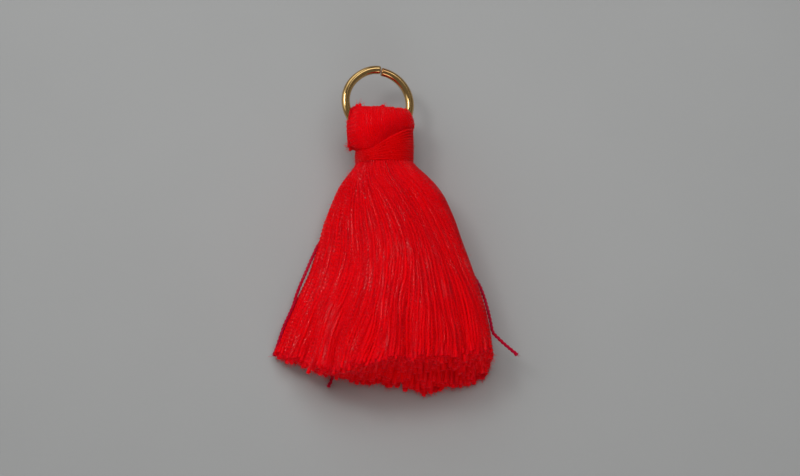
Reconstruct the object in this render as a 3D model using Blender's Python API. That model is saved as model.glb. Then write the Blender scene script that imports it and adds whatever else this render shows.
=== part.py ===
"""A small thread tassel hung on a jump ring, lying on its back.

+Z is up, +Y runs from the cut ends towards the ring, and +X is to the right. The origin is the
middle of the base, on the surface that the tassel lies on. The script works in millimetres and
scales every mesh to metres when it is made.

The tassel is one hank of threads, drawn through the ring and doubled over its near side, bound
round the neck with a wound thread and cut to length. A place along it is given as its reach, the
distance from the ring's centre towards the cut ends.
"""

import math

import bmesh
import bpy
import numpy as np
from mathutils import Euler, Vector

MM = 0.001
CLEARANCE = 0.3
OBJECT_NAME = "thread_tassel"
CUTTER_COLLECTION = "tassel_cutters"

# Jump ring: a round wire ring, cut once. Its left side and its free side lie higher.
RING_OUTER_DIAMETER = 8.0
WIRE_DIAMETER = 0.9
RING_CENTRE = Vector((-2.0, 13.75, 3.9))
RING_ROLL_DEG = 15.3
RING_RISE_DEG = 4.0
RING_GAP = 0.28
RING_GAP_AT_DEG = 86.0
RING_END_OFFSET = 0.1
RING_OFFSET_SWEEP_DEG = 50.0
RING_STEPS = 52
RING_BEVEL_STEPS = 4
CHANNEL_SIDES = 12
RING_RADIUS = (RING_OUTER_DIAMETER - WIRE_DIAMETER) / 2

# Fold: the threads turn over the wire in a half round.
FOLD_RADIUS = 3.1
FOLD_AXIS_HEIGHT = 3.65
FOLD_ROLL_DEG = 8.0
FOLD_ROLL_FADE = (3.0, 6.0)
CREST_REACH = RING_RADIUS - FOLD_RADIUS
HEAD_SQUARENESS = 2.4

# Binding: thread wound round the neck in a band whose upper edge slants.
BINDING_CENTRE_X = 0.69
BINDING_CENTRE_HEIGHT = 3.12
BINDING_HALF_WIDTH = 3.03
BINDING_HALF_HEIGHT = 3.0
BINDING_THICKNESS = 0.45
BINDING_LOWER_REACH = 6.9
BINDING_CROWN = 0.08
NECK_LEAN_DEG = 10.0
NECK_LEAN_FADE = (2.2, 4.6, 8.4, 11.5)
NECK_HALF_WIDTH = BINDING_HALF_WIDTH - BINDING_THICKNESS - CLEARANCE
NECK_HALF_HEIGHT = BINDING_HALF_HEIGHT - BINDING_THICKNESS - CLEARANCE
SHOULDER_LENGTH = 0.4
FLARE_LENGTH = 0.7

# Upper edge of the binding, by the angle round the neck: 0 is the right side, 90 the front.
BINDING_EDGE = {
    "angle_deg": (0, 20, 45, 62, 86, 106, 117, 140, 171, 215, 270, 320, 360),
    "reach": (2.9, 2.95, 3.4, 3.83, 4.41, 5.3, 5.65, 5.55, 5.15, 4.7, 4.0, 3.2, 2.9),
}

# Head: its sides from the crest down to the binding, measured from the ring's centre line, and
# how far its middle drops below the fold's axis.
HEAD = {
    "reach": (CREST_REACH, 0.9, 1.4, 2.2, 3.2, 4.4, 5.4, 6.6),
    "left": (-2.75, -3.05, -3.2, -3.3, -3.3, -3.2, -3.2, -3.1),
    "right": (3.15, 3.38, 3.55, 3.7, 3.75, 3.75, 3.75, 3.75),
    "half_height": (0.0, 1.3, 2.02, 2.7, 2.96, 2.98, 2.92, 2.8),
    "drop": (0.0, 0.0, 0.0, 0.0, 0.0, 0.15, 0.3, 0.45),
}

# Skirt: one row for each section, from the binding to the cut ends. Spread goes from 0, the
# oval of the neck, to 1, the profile across the cut ends.
SKIRT = {
    "reach": (7.0, 8.2, 9.4, 10.7, 13.2, 15.8, 18.5, 21.0, 23.7, 26.3, 28.0, 32.0),
    "left": (-2.4, -3.25, -4.15, -4.8, -5.75, -6.35, -7.2, -8.2, -9.25, -10.15, -10.7, -12.0),
    "right": (3.85, 5.2, 6.3, 7.1, 8.15, 8.95, 9.95, 10.9, 11.75, 12.3, 12.4, 12.2),
    "base": (0.35, 0.1, 0.0, 0.0, 0.0, 0.0, 0.0, 0.0, 0.0, 0.0, 0.0, 0.0),
    "crown": (6.1, 6.6, 6.9, 7.1, 7.3, 7.5, 7.7, 7.9, 8.0, 8.0, 7.9, 7.8),
    "spread": (0.0, 0.1, 0.3, 0.5, 0.75, 0.9, 1.0, 1.0, 1.0, 1.0, 1.0, 1.0),
}

# Profile across the cut ends: how high the threads are stacked, as a share of the crown, from
# the thin left side (across 0) to the steep right side (across 1).
ENDS_PROFILE = {
    "across": (0.0, 0.03, 0.08, 0.16, 0.28, 0.4, 0.52, 0.65, 0.8, 0.92, 1.0),
    "height": (0.2, 0.26, 0.36, 0.5, 0.68, 0.85, 0.96, 1.0, 0.98, 0.93, 0.88),
}
LEFT_EDGE_SHARE = 0.1
RIGHT_EDGE_SHARE = 0.4
EDGE_FULLNESS = 0.6
UNDERSIDE_CURL = 0.3
UNDERSIDE_SETTLE = 1.6

# Cut line: where the threads end, on the surface and at the top of the stack.
CUT_LINE = {
    "across": (0.0, 0.07, 0.16, 0.28, 0.4, 0.52, 0.66, 0.72, 0.82, 0.92, 0.97, 1.0),
    "lower": (27.5, 28.3, 29.2, 30.1, 30.5, 30.8, 31.2, 31.7, 31.1, 30.4, 29.3, 27.7),
    "upper": (27.5, 28.2, 29.0, 29.5, 29.6, 29.7, 29.6, 29.5, 29.2, 28.8, 28.3, 27.7),
}

# Small hollows and tufts over the cut ends: a sum of waves across and down the stack.
CUT_ROUGHNESS = 0.16
CUT_WAVES = {
    "across": (41.0, 67.0, 23.0),
    "down": (3.0, -7.0, 11.0),
    "shift": (0.0, 1.3, 2.1),
}

# Partings between the main locks of thread: they open towards the cut ends.
PARTINGS = {
    "across": (0.15, 0.3, 0.47, 0.62, 0.75, 0.88),
    "from_reach": (20.0, 18.5, 22.0, 19.5, 22.0, 20.0),
    "half_width": (0.035, 0.03, 0.025, 0.035, 0.025, 0.03),
    "depth": (0.9, 0.8, 0.5, 0.9, 0.5, 0.8),
}
PARTING_LENGTH = 9.0

# Loose thread ends beside the skirt: sideways place from the ring's centre line, reach, height.
THREAD_DIAMETER = 0.28
THREAD_BEVEL_STEPS = 2
LOOSE_THREADS = {
    "loose_thread_left": (
        (-6.8, 15.7, 1.5),
        (-7.25, 16.9, 1.45),
        (-7.75, 18.4, 1.35),
        (-8.35, 19.9, 1.25),
        (-9.0, 21.3, 1.1),
        (-9.45, 22.6, 1.0),
        (-9.85, 23.8, 0.85),
        (-10.3, 25.1, 0.75),
        (-10.7, 26.2, 0.6),
        (-11.0, 27.3, 0.4),
    ),
    "loose_thread_right": (
        (11.6, 21.6, 3.5),
        (12.0, 22.8, 3.5),
        (12.35, 24.0, 3.5),
        (12.65, 25.2, 3.5),
        (13.0, 26.3, 3.4),
        (13.6, 27.2, 3.2),
        (14.2, 27.9, 3.0),
        (14.95, 28.5, 2.8),
    ),
}

COLUMNS = 64
HEAD_ROWS = 14
NECK_ROWS = 2
SKIRT_ROWS = 34
SKIRT_ROW_EASE = 1.35
CAP_ROWS = 3
BINDING_COLUMNS = 48
BINDING_ROWS = 3

MATERIALS = {
    "thread": {"color": (0.53, 0.004, 0.008, 1.0), "metallic": 0.0, "roughness": 0.7},
    "binding_thread": {"color": (0.42, 0.002, 0.005, 1.0), "metallic": 0.0, "roughness": 0.65},
    "ring_metal": {"color": (0.72, 0.52, 0.2, 1.0), "metallic": 1.0, "roughness": 0.25},
}


def clear_scene():
    for obj in list(bpy.data.objects):
        bpy.data.objects.remove(obj, do_unlink=True)


def new_collection(name):
    collection = bpy.data.collections.new(name)
    bpy.context.scene.collection.children.link(collection)
    return collection


def new_material(name):
    look = MATERIALS[name]
    material = bpy.data.materials.new(name)
    material.use_nodes = True
    shader = material.node_tree.nodes["Principled BSDF"]
    shader.inputs["Base Color"].default_value = look["color"]
    shader.inputs["Metallic"].default_value = look["metallic"]
    shader.inputs["Roughness"].default_value = look["roughness"]
    return material


def column(table, name, at, along="reach"):
    """One column of a table, read off at the given places by straight lines between its rows."""
    return np.interp(at, table[along], table[name])


def smooth_ramp(value, start, end):
    """0 before start, 1 after end, and an even S curve between them."""
    share = np.clip((value - start) / (end - start), 0.0, 1.0)
    return share * share * (3.0 - 2.0 * share)


def mix(first, second, share):
    """From first, where share is 0, to second, where it is 1."""
    return first + (second - first) * share


def binding_edge(angle):
    """Reach of the binding's upper edge at an angle round the neck, rounded off by averaging."""
    spread = np.radians((-14.0, -7.0, 0.0, 7.0, 14.0))
    around = np.degrees(angle[..., None] + spread) % 360.0
    return np.interp(around, BINDING_EDGE["angle_deg"], BINDING_EDGE["reach"]).mean(axis=-1)


def lean_neck(x, reach, z):
    """Tips the neck's cross-sections: its front lies further from the ring than its back."""
    start, full, hold, end = NECK_LEAN_FADE
    share = smooth_ramp(reach, start, full) * (1.0 - smooth_ramp(reach, hold, end))
    slope = math.tan(math.radians(NECK_LEAN_DEG))
    return x, reach + share * slope * (z - BINDING_CENTRE_HEIGHT), z


def oval(angle, middle_x, half_width, middle_z, half_height, squareness=2.0):
    """A superellipse; its squareness is 2 for a plain ellipse and more for fuller corners."""
    power = 2.0 / squareness
    side = np.cos(angle)
    rise = np.sin(angle)
    x = middle_x + half_width * np.sign(side) * np.abs(side) ** power
    z = middle_z + half_height * np.sign(rise) * np.abs(rise) ** power
    return x, z


def neck_section(angle):
    return oval(angle, BINDING_CENTRE_X, NECK_HALF_WIDTH, BINDING_CENTRE_HEIGHT, NECK_HALF_HEIGHT)


def head_section(angle, reach):
    """The doubled hank above the binding, rolled with the ring that it is folded over."""
    left = column(HEAD, "left", reach)
    right = column(HEAD, "right", reach)
    middle_x = (left + right) / 2
    middle_z = FOLD_AXIS_HEIGHT - column(HEAD, "drop", reach)
    half_height = column(HEAD, "half_height", reach)
    x, z = oval(angle, middle_x, (right - left) / 2, middle_z, half_height, HEAD_SQUARENESS)
    slope = math.tan(math.radians(FOLD_ROLL_DEG)) * (1.0 - smooth_ramp(reach, *FOLD_ROLL_FADE))
    return x, z - slope * (x - middle_x)


def partings(across, reach):
    """Depth of the troughs between locks, each a rounded notch that deepens with reach."""
    depth = np.zeros_like(reach)
    for middle, start, half_width, deepest in zip(*PARTINGS.values()):
        notch = np.exp(-(((across - middle) / half_width) ** 2))
        depth += deepest * notch * smooth_ramp(reach, start, start + PARTING_LENGTH)
    return depth


def skirt_section(angle, reach):
    """The splayed threads: flat below, thin at the left, heaped up and steep at the right."""
    left = column(SKIRT, "left", reach)
    right = column(SKIRT, "right", reach)
    base = column(SKIRT, "base", reach)
    crown = column(SKIRT, "crown", reach)
    spread = column(SKIRT, "spread", reach)
    across = (1.0 + np.cos(angle)) / 2
    rise = np.sin(angle)
    round_z = mix(base, crown, (1.0 + rise) / 2)
    edge = crown * mix(LEFT_EDGE_SHARE, RIGHT_EDGE_SHARE, across)
    top = crown * column(ENDS_PROFILE, "height", across, along="across") - partings(across, reach)
    heaped = mix(edge, top, np.abs(rise) ** EDGE_FULLNESS)
    curl = np.clip(np.abs(rise) / UNDERSIDE_CURL, 0.0, 1.0) ** EDGE_FULLNESS
    laid = edge * (1.0 - curl)
    flat_z = np.where(rise >= 0.0, heaped, laid)
    z = mix(round_z, flat_z, spread)
    settled = np.maximum(z + UNDERSIDE_SETTLE * spread * rise, 0.0)
    return mix(left, right, across), np.where(rise < 0.0, settled, z)


def hank_rows(angle):
    """Every ring of the hank's skin, from the crest to the cut ends, as (x, reach, z) arrays."""
    neck_x, neck_z = neck_section(angle)
    shoulder = binding_edge(angle) - CLEARANCE
    neck_end = BINDING_LOWER_REACH + CLEARANCE
    across = (1.0 + np.cos(angle)) / 2
    upper_cut = column(CUT_LINE, "upper", across, along="across")
    lower_cut = column(CUT_LINE, "lower", across, along="across")
    cut = np.where(np.sin(angle) >= 0.0, upper_cut, lower_cut)
    rows = []
    for step in np.linspace(0.0, 1.0, HEAD_ROWS):
        reach = mix(CREST_REACH, shoulder, (step + step * step) / 2)
        x, z = head_section(angle, reach)
        full = smooth_ramp(shoulder - reach, 0.0, SHOULDER_LENGTH) ** 0.5
        rows.append((mix(neck_x, x, full), reach, mix(neck_z, z, full)))
    for step in np.linspace(0.0, 1.0, NECK_ROWS + 1)[1:]:
        rows.append((neck_x, mix(shoulder, neck_end, step), neck_z))
    for step in np.linspace(0.0, 1.0, SKIRT_ROWS + 1)[1:]:
        reach = mix(neck_end, cut, step**SKIRT_ROW_EASE)
        x, z = skirt_section(angle, reach)
        full = smooth_ramp(reach, neck_end - FLARE_LENGTH, neck_end + FLARE_LENGTH)
        rows.append((mix(neck_x, x, full), reach, mix(neck_z, z, full)))
    return [lean_neck(*row) for row in rows]


def to_place(x, reach, z):
    """Turns sideways place, reach and height into coordinates on the tassel's base."""
    return np.stack((RING_CENTRE.x + x, RING_CENTRE.y - reach, z), axis=-1)


def cut_roughness(across, down):
    """How far the ends stand out from the cut line at one place on the cut face."""
    waves = zip(*CUT_WAVES.values())
    return CUT_ROUGHNESS * sum(math.sin(x * across + z * down + shift) for x, z, shift in waves)


def mesh_object(name, bm, collection):
    """Makes the object of a finished bmesh in millimetres, and frees the bmesh."""
    bmesh.ops.scale(bm, vec=Vector((MM, MM, MM)), verts=bm.verts)
    bmesh.ops.recalc_face_normals(bm, faces=bm.faces)
    mesh = bpy.data.meshes.new(name)
    bm.to_mesh(mesh)
    bm.free()
    mesh.shade_smooth()
    obj = bpy.data.objects.new(name, mesh)
    collection.objects.link(obj)
    return obj


def bridge(bm, first, second):
    """Joins two closed loops of the same number of vertices by a band of triangles."""
    count = len(first)
    for index in range(count):
        following = (index + 1) % count
        bm.faces.new((first[index], first[following], second[following]))
        bm.faces.new((first[index], second[following], second[index]))


def close_crest(bm, loop):
    """Closes the crest: the front and back threads meet there on one line."""
    half = len(loop) // 2
    pairs = {loop[-index]: loop[index] for index in range(1, half)}
    bmesh.ops.weld_verts(bm, targetmap=pairs)


def close_cut_ends(bm, loop):
    """Fills the cut ends with a rough grid between the upper and the lower row of ends."""
    half = len(loop) // 2
    strips = [[loop[0]]]
    for index in range(1, half):
        upper = loop[index].co
        lower = loop[-index].co
        across = (1.0 + math.cos(math.pi * index / half)) / 2
        strip = [loop[index]]
        for row in range(1, CAP_ROWS + 1):
            share = row / (CAP_ROWS + 1)
            place = upper.lerp(lower, share)
            place.y -= cut_roughness(across, share) * math.sin(math.pi * share)
            strip.append(bm.verts.new(place))
        strip.append(loop[-index])
        strips.append(strip)
    strips.append([loop[half]])
    for left, right in zip(strips[:-1], strips[1:]):
        long_side = max(len(left), len(right)) - 1
        for row in range(long_side):
            corners = [left[min(row, len(left) - 1)], left[min(row + 1, len(left) - 1)]]
            corners += [right[min(row + 1, len(right) - 1)], right[min(row, len(right) - 1)]]
            unique = list(dict.fromkeys(corners))
            bm.faces.new(unique)


def add_ring_cutter(collection):
    """The channel that the wire runs through: a torus, one clearance wider than the wire."""
    bpy.ops.mesh.primitive_torus_add(
        major_segments=RING_STEPS,
        minor_segments=CHANNEL_SIDES,
        major_radius=RING_RADIUS * MM,
        minor_radius=(WIRE_DIAMETER / 2 + CLEARANCE) * MM,
        location=RING_CENTRE * MM,
        rotation=ring_rotation(),
    )
    cutter = bpy.context.object
    cutter.name = "wire_channel_cutter"
    for holder in list(cutter.users_collection):
        holder.objects.unlink(cutter)
    collection.objects.link(cutter)
    cutter.hide_render = True
    cutter.display_type = "WIRE"
    return cutter


def ring_rotation():
    """The ring's rise about X, then its roll about Y."""
    return Euler((math.radians(RING_RISE_DEG), math.radians(RING_ROLL_DEG), 0.0), "XYZ")


def make_hank(collection, cutter):
    """The doubled hank: head, neck and splayed skirt as one closed skin."""
    angle = 2.0 * math.pi * np.arange(COLUMNS) / COLUMNS
    bm = bmesh.new()
    loops = []
    for x, reach, z in hank_rows(angle):
        places = to_place(x, reach, z)
        loops.append([bm.verts.new(place) for place in places])
    for first, second in zip(loops[:-1], loops[1:]):
        bridge(bm, first, second)
    close_cut_ends(bm, loops[-1])
    close_crest(bm, loops[0])
    hank = mesh_object("thread_hank", bm, collection)
    hank.data.materials.append(new_material("thread"))
    channel = hank.modifiers.new("wire_channel", "BOOLEAN")
    channel.operation = "DIFFERENCE"
    channel.solver = "EXACT"
    channel.object = cutter
    return hank


def make_binding(collection):
    """The wound band: an outer and an inner wall between its slanted and its lower edge."""
    angle = 2.0 * math.pi * np.arange(BINDING_COLUMNS) / BINDING_COLUMNS
    upper = binding_edge(angle)
    bm = bmesh.new()
    loops = []
    for outward, steps in ((True, np.linspace(0, 1, BINDING_ROWS)), (False, (1.0, 0.0))):
        for step in steps:
            swell = BINDING_CROWN * math.sin(math.pi * step) if outward else 0.0
            inset = 0.0 if outward else BINDING_THICKNESS
            x, z = oval(
                angle,
                BINDING_CENTRE_X,
                BINDING_HALF_WIDTH + swell - inset,
                BINDING_CENTRE_HEIGHT,
                BINDING_HALF_HEIGHT + swell - inset,
            )
            reach = mix(upper, BINDING_LOWER_REACH, step)
            places = to_place(*lean_neck(x, reach, z))
            loops.append([bm.verts.new(place) for place in places])
    for first, second in zip(loops, loops[1:] + loops[:1]):
        bridge(bm, first, second)
    binding = mesh_object("neck_binding", bm, collection)
    binding.data.materials.append(new_material("binding_thread"))
    return binding


def make_wire(name, places, diameter, bevel_steps, collection, material):
    """A round wire or thread along a list of places in millimetres, capped at both ends."""
    curve = bpy.data.curves.new(name, "CURVE")
    curve.dimensions = "3D"
    curve.bevel_depth = diameter / 2 * MM
    curve.bevel_resolution = bevel_steps
    curve.use_fill_caps = True
    spline = curve.splines.new("POLY")
    spline.points.add(len(places) - 1)
    for point, place in zip(spline.points, places):
        point.co = (*(Vector(place) * MM), 1.0)
    curve.materials.append(material)
    wire = bpy.data.objects.new(name, curve)
    collection.objects.link(wire)
    return wire


def make_ring(collection):
    """The jump ring: one turn of wire, whose left end stands a little outside its right end."""
    gap_deg = math.degrees(RING_GAP / RING_RADIUS)
    start = RING_GAP_AT_DEG + gap_deg / 2
    turn = 360.0 - gap_deg
    tilt = ring_rotation().to_matrix()
    places = []
    for step in range(RING_STEPS + 1):
        swept = turn * step / RING_STEPS
        opened = 1.0 - float(smooth_ramp(swept, 0.0, RING_OFFSET_SWEEP_DEG))
        radius = RING_RADIUS + RING_END_OFFSET * opened
        angle = math.radians(start + swept)
        in_plane = Vector((radius * math.cos(angle), radius * math.sin(angle), 0.0))
        places.append(RING_CENTRE + tilt @ in_plane)
    metal = new_material("ring_metal")
    return make_wire("jump_ring", places, WIRE_DIAMETER, RING_BEVEL_STEPS, collection, metal)


def make_loose_threads(collection):
    material = bpy.data.materials["thread"]
    for name, route in LOOSE_THREADS.items():
        places = [to_place(x, reach, z) for x, reach, z in route]
        make_wire(name, places, THREAD_DIAMETER, THREAD_BEVEL_STEPS, collection, material)


def main():
    clear_scene()
    parts = new_collection(OBJECT_NAME)
    cutters = new_collection(CUTTER_COLLECTION)
    cutter = add_ring_cutter(cutters)
    make_hank(parts, cutter)
    make_binding(parts)
    make_ring(parts)
    make_loose_threads(parts)


main()
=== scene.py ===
"""The looks of a small thread tassel on a jump ring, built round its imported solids.

Every thread is a twisted tube of its own: the head's threads double over the ring's wire, the
neck is bound with a wound thread, and the skirt fans out to its cut ends. Places are worked out in
millimetres, and a mesh is scaled to metres when it is made. Reach is the distance from the ring's
centre towards the cut ends. An angle round the hank is 0 at its right side, 90 degrees on top and
180 at its left side, seen from the cut ends.
"""

import math
from functools import partial

import bpy
import numpy as np
from bpy.props import FloatProperty, FloatVectorProperty, IntProperty, PointerProperty
from mathutils import Euler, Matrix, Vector


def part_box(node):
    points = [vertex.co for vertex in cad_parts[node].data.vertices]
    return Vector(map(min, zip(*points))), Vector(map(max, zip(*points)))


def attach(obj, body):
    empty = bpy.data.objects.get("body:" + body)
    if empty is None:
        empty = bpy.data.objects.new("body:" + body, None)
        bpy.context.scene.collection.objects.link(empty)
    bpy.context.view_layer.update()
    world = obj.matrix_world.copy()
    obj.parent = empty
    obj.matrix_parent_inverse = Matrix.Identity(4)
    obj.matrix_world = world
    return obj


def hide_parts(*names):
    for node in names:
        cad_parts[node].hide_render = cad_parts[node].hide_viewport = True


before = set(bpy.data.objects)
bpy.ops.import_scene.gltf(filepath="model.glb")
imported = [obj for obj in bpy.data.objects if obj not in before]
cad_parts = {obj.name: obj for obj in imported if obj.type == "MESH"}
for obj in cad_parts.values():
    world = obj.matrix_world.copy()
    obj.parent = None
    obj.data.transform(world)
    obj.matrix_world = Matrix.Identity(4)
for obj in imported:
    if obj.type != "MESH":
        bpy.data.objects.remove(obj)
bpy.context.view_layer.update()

bl_info = {
    "name": "Thread tassel",
    "version": (1, 0, 0),
    "blender": (4, 5, 0),
    "location": "View3D > Sidebar > Tassel",
    "description": "Builds a twisted-thread tassel and its jump ring round the packed solids",
    "category": "Add Mesh",
}

MM = 0.001
ROOT_BODY = "root"
ALONG_UV = "along_and_around"
STRAND_ATTRIBUTE = "strand"
TIP_ATTRIBUTE = "tip"
SIDEWAYS = (1.0, 0.0, 0.0)
LENGTHWAYS = (0.0, 1.0, 0.0)

# Jump ring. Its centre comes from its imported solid.
RING_OUTER_DIAMETER = 8.0
WIRE_DIAMETER = 0.9
RING_ROLL_DEG = 15.3
RING_RISE_DEG = 4.0
RING_GAP = 0.15
RING_GAP_AT_DEG = 86.0
RING_END_OFFSET = 0.17
RING_OFFSET_SWEEP_DEG = 50.0
RING_STEPS = 220
RING_SIDES = 28
RING_END_SHARE = 0.9
RING_RADIUS = (RING_OUTER_DIAMETER - WIRE_DIAMETER) / 2
RING_LOW, RING_HIGH = (np.array(corner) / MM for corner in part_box("jump_ring"))
RING_CENTRE = (RING_LOW + RING_HIGH) / 2
RING_CENTRE[1] = RING_LOW[1] + RING_OUTER_DIAMETER / 2 * math.cos(math.radians(RING_RISE_DEG))

# Threads. A cut end flares over its last stretch and is drawn in where it closes.
THREAD_DIAMETER = 0.28
PLY_PITCH = 1.35
PLIES = 3
PLY_DEPTH = 0.2
PLY_START_SPREAD = 7.0
GOLDEN_SHARE = 0.618034
TIP_LENGTH = 1.2
CUT_FLARE = 0.25
CUT_FLARE_LENGTH = 0.7
CUT_CLOSING = 0.3
CUT_CLOSING_LENGTH = 0.02

# Fold of the head over the wire.
FOLD_RADIUS = 2.95
FOLD_AXIS_HEIGHT = 3.75
FOLD_ROLL_DEG = 5.0
FOLD_ROLL_FADE = (3.0, 6.0)
CREST_REACH = RING_RADIUS - FOLD_RADIUS
HEAD_SQUARENESS = 2.4
HEAD_EXTRA_WIDTH = 0.5
HEAD_ROUNDING = 0.25
DROP_ROUNDING = 0.4

# Binding and the neck inside it.
BINDING_CENTRE_X = 0.74
BINDING_CENTRE_HEIGHT = 3.12
BINDING_HALF_WIDTH = 2.96
BINDING_HALF_HEIGHT = 3.0
BINDING_LOWER_REACH = 6.9
BINDING_STEP = 0.12
BINDING_SIDES = 9
BINDING_PROUD = 0.08
BINDING_CROWN = 0.06
BINDING_LIFT = 0.9
NECK_LEAN_DEG = 10.0
NECK_LEAN_FADE = (2.2, 4.6, 8.4, 11.5)
SHOULDER_START = 0.1
SHOULDER_LENGTHS = (0.55, 1.7)
NECK_END_FADE = (BINDING_LOWER_REACH - 0.7, BINDING_LOWER_REACH + 0.15)

# Upper edge of the binding, by the angle round the neck.
BINDING_EDGE_ROUNDING_DEG = 14.0
BINDING_EDGE = {
    "angle_deg": (0, 20, 45, 62, 86, 106, 117, 140, 171, 215, 270, 320, 360),
    "reach": (2.9, 2.95, 3.4, 3.83, 4.41, 5.3, 5.65, 5.55, 5.15, 4.7, 4.0, 3.2, 2.9),
}

# Head: its sides from the crest down to the binding, measured from the ring's centre line, and
# how far its middle drops below the fold's axis.
HEAD = {
    "reach": (CREST_REACH, 0.8, 1.1, 1.6, 2.2, 3.2, 4.4, 5.4, 6.6),
    "left": (-2.35, -2.75, -3.05, -3.25, -3.32, -3.3, -3.2, -3.15, -3.1),
    "right": (2.95, 3.25, 3.5, 3.75, 3.88, 3.94, 3.96, 3.98, 3.98),
    "drop": (0.0, 0.0, 0.0, 0.02, 0.08, 0.22, 0.36, 0.46, 0.5),
}

# Skirt: one row for each section, from the binding to the cut ends. Spread goes from 0, the
# oval of the neck, to 1, the profile across the cut ends.
SKIRT = {
    "reach": (7.0, 8.2, 9.4, 10.7, 13.2, 15.8, 18.5, 21.0, 23.7, 26.3, 28.0, 32.0),
    "left": (-2.3, -3.25, -4.15, -4.8, -5.8, -6.45, -7.3, -8.4, -9.6, -10.5, -11.0, -12.2),
    "right": (3.9, 5.25, 6.3, 7.1, 8.15, 8.95, 9.88, 10.68, 11.42, 11.88, 11.98, 11.85),
    "base": (0.35, 0.1, 0.0, 0.0, 0.0, 0.0, 0.0, 0.0, 0.0, 0.0, 0.0, 0.0),
    "crown": (6.1, 6.6, 6.9, 7.1, 7.3, 7.5, 7.7, 7.9, 8.0, 8.0, 7.9, 7.8),
    "spread": (0.0, 0.1, 0.3, 0.5, 0.75, 0.9, 1.0, 1.0, 1.0, 1.0, 1.0, 1.0),
}
SECTION_ROUNDING = 0.5

# Profile across the cut ends: how high the threads are stacked, as a share of the crown, from
# the thin left side (across 0) to the steep right side (across 1).
ENDS_PROFILE = {
    "across": (0.0, 0.03, 0.08, 0.16, 0.28, 0.4, 0.52, 0.65, 0.8, 0.92, 1.0),
    "height": (0.2, 0.26, 0.36, 0.5, 0.68, 0.85, 0.96, 1.0, 0.98, 0.93, 0.88),
}
ENDS_ROUNDING = 0.02
LEFT_EDGE_SHARE = 0.1
RIGHT_EDGE_SHARE = 0.4
EDGE_FULLNESS = 0.6
UNDERSIDE_CURL = 0.3
UNDERSIDE_SETTLE = 1.6

# Cut line: where the threads end, on the surface and at the top of the stack.
CUT_LINE = {
    "across": (
        0.0, 0.057, 0.13, 0.167, 0.204, 0.24, 0.277, 0.313, 0.35, 0.387, 0.46,
        0.533, 0.607, 0.643, 0.716, 0.753, 0.79, 0.863, 0.9, 0.936, 0.973, 1.0,
    ),
    "lower": (
        27.2, 27.35, 27.6, 27.95, 28.8, 29.05, 29.25, 29.4, 29.75, 30.0, 30.2,
        30.2, 30.5, 30.95, 31.4, 31.1, 30.65, 30.55, 30.35, 29.75, 29.35, 28.4,
    ),
    "upper": (
        27.3, 28.0, 28.65, 29.2, 29.9, 30.1, 30.2, 30.3, 30.4, 30.35, 30.0,
        29.75, 29.65, 29.65, 29.6, 29.55, 29.5, 29.2, 28.95, 28.6, 28.3, 27.9,
    ),
}

# Partings between the main locks of thread: they open towards the cut ends. Push is how far the
# threads on either side are drawn away, as a share of the skirt's width.
PARTINGS = {
    "across": (0.15, 0.3, 0.47, 0.62, 0.75, 0.88),
    "from_reach": (20.0, 18.5, 22.0, 19.5, 22.0, 20.0),
    "half_width": (0.035, 0.03, 0.025, 0.035, 0.025, 0.03),
    "depth": (0.9, 0.8, 0.5, 0.9, 0.5, 0.8),
    "push": (0.01, 0.009, 0.006, 0.01, 0.006, 0.009),
}
PARTING_LENGTH = 9.0
PARTING_REACH_OUT = 2.2
PARTING_LEAD = 3.0
EDGE_CALM = 0.12

# Swirl: how many degrees further round the hank a thread lies than at its cut end. One row for
# each reach, one column for each angle at the cut ends.
SWIRL_ANGLES_DEG = (0.0, 40.0, 79.0, 125.0, 180.0, 270.0, 360.0)
SWIRL_REACHES = (7.5, 10.0, 12.7, 15.0, 17.5, 21.0, 24.0, 28.0)
SWIRL_ROUNDING = 1.2
SWIRL_DEG = (
    (40.0, 43.0, 38.0, 14.0, 7.0, 10.0, 40.0),
    (35.0, 34.0, 21.0, 6.0, 3.0, 8.0, 35.0),
    (26.0, 24.0, 8.0, 1.0, 0.0, 5.0, 26.0),
    (18.0, 16.0, 0.0, -2.0, -1.5, 3.0, 18.0),
    (12.0, 11.0, -4.0, -5.0, -2.0, 2.0, 12.0),
    (7.0, 6.5, -3.0, -6.5, -2.0, 1.0, 7.0),
    (3.0, 3.5, -1.0, -3.5, -1.5, 0.0, 3.0),
    (0.0, 0.0, 0.0, 0.0, 0.0, 0.0, 0.0),
)

# Layers of threads in the skirt, from the skin inwards. Inset is how far below the skin a layer
# lies at the cut ends; sides and step are a thread's sides and the length between its rings of
# points; swell is how much thicker its threads stand where they are loose and frayed. The
# underside keeps only every few rings, and the last ones.
SKIRT_LAYERS = {
    "threads": (220, 180, 112, 98, 86, 76, 66, 54),
    "inset": (0.0, 0.15, 0.46, 0.9, 1.4, 1.95, 2.6, 3.25),
    "sides": (6, 5, 4, 4, 4, 4, 4, 4),
    "step": (0.17, 1.7, 2.2, 2.2, 2.2, 2.2, 2.2, 2.2),
    "swell": (0.42, 0.46, 0.5, 0.55, 0.55, 0.55, 0.55, 0.55),
}
SPACING_REACHES = (28.0, 24.0, 20.0, 16.5, 13.5, 11.0)
SPACING_STEPS = 1441
FLANK_DEPTH = 0.4
UNDERSIDE_EVERY = 5
UNDERSIDE_LAST = 4
SKIRT_ROOT_REACH = 5.9
HEM_REACH = 28.0
THREAD_LOOSENING = (8.0, 20.0)
DIVE_DEPTH = 0.1
DIVE_EASE = 0.1
DIVE_NEIGHBOURS = 3
EDGE_EVENNESS = 12

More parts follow.
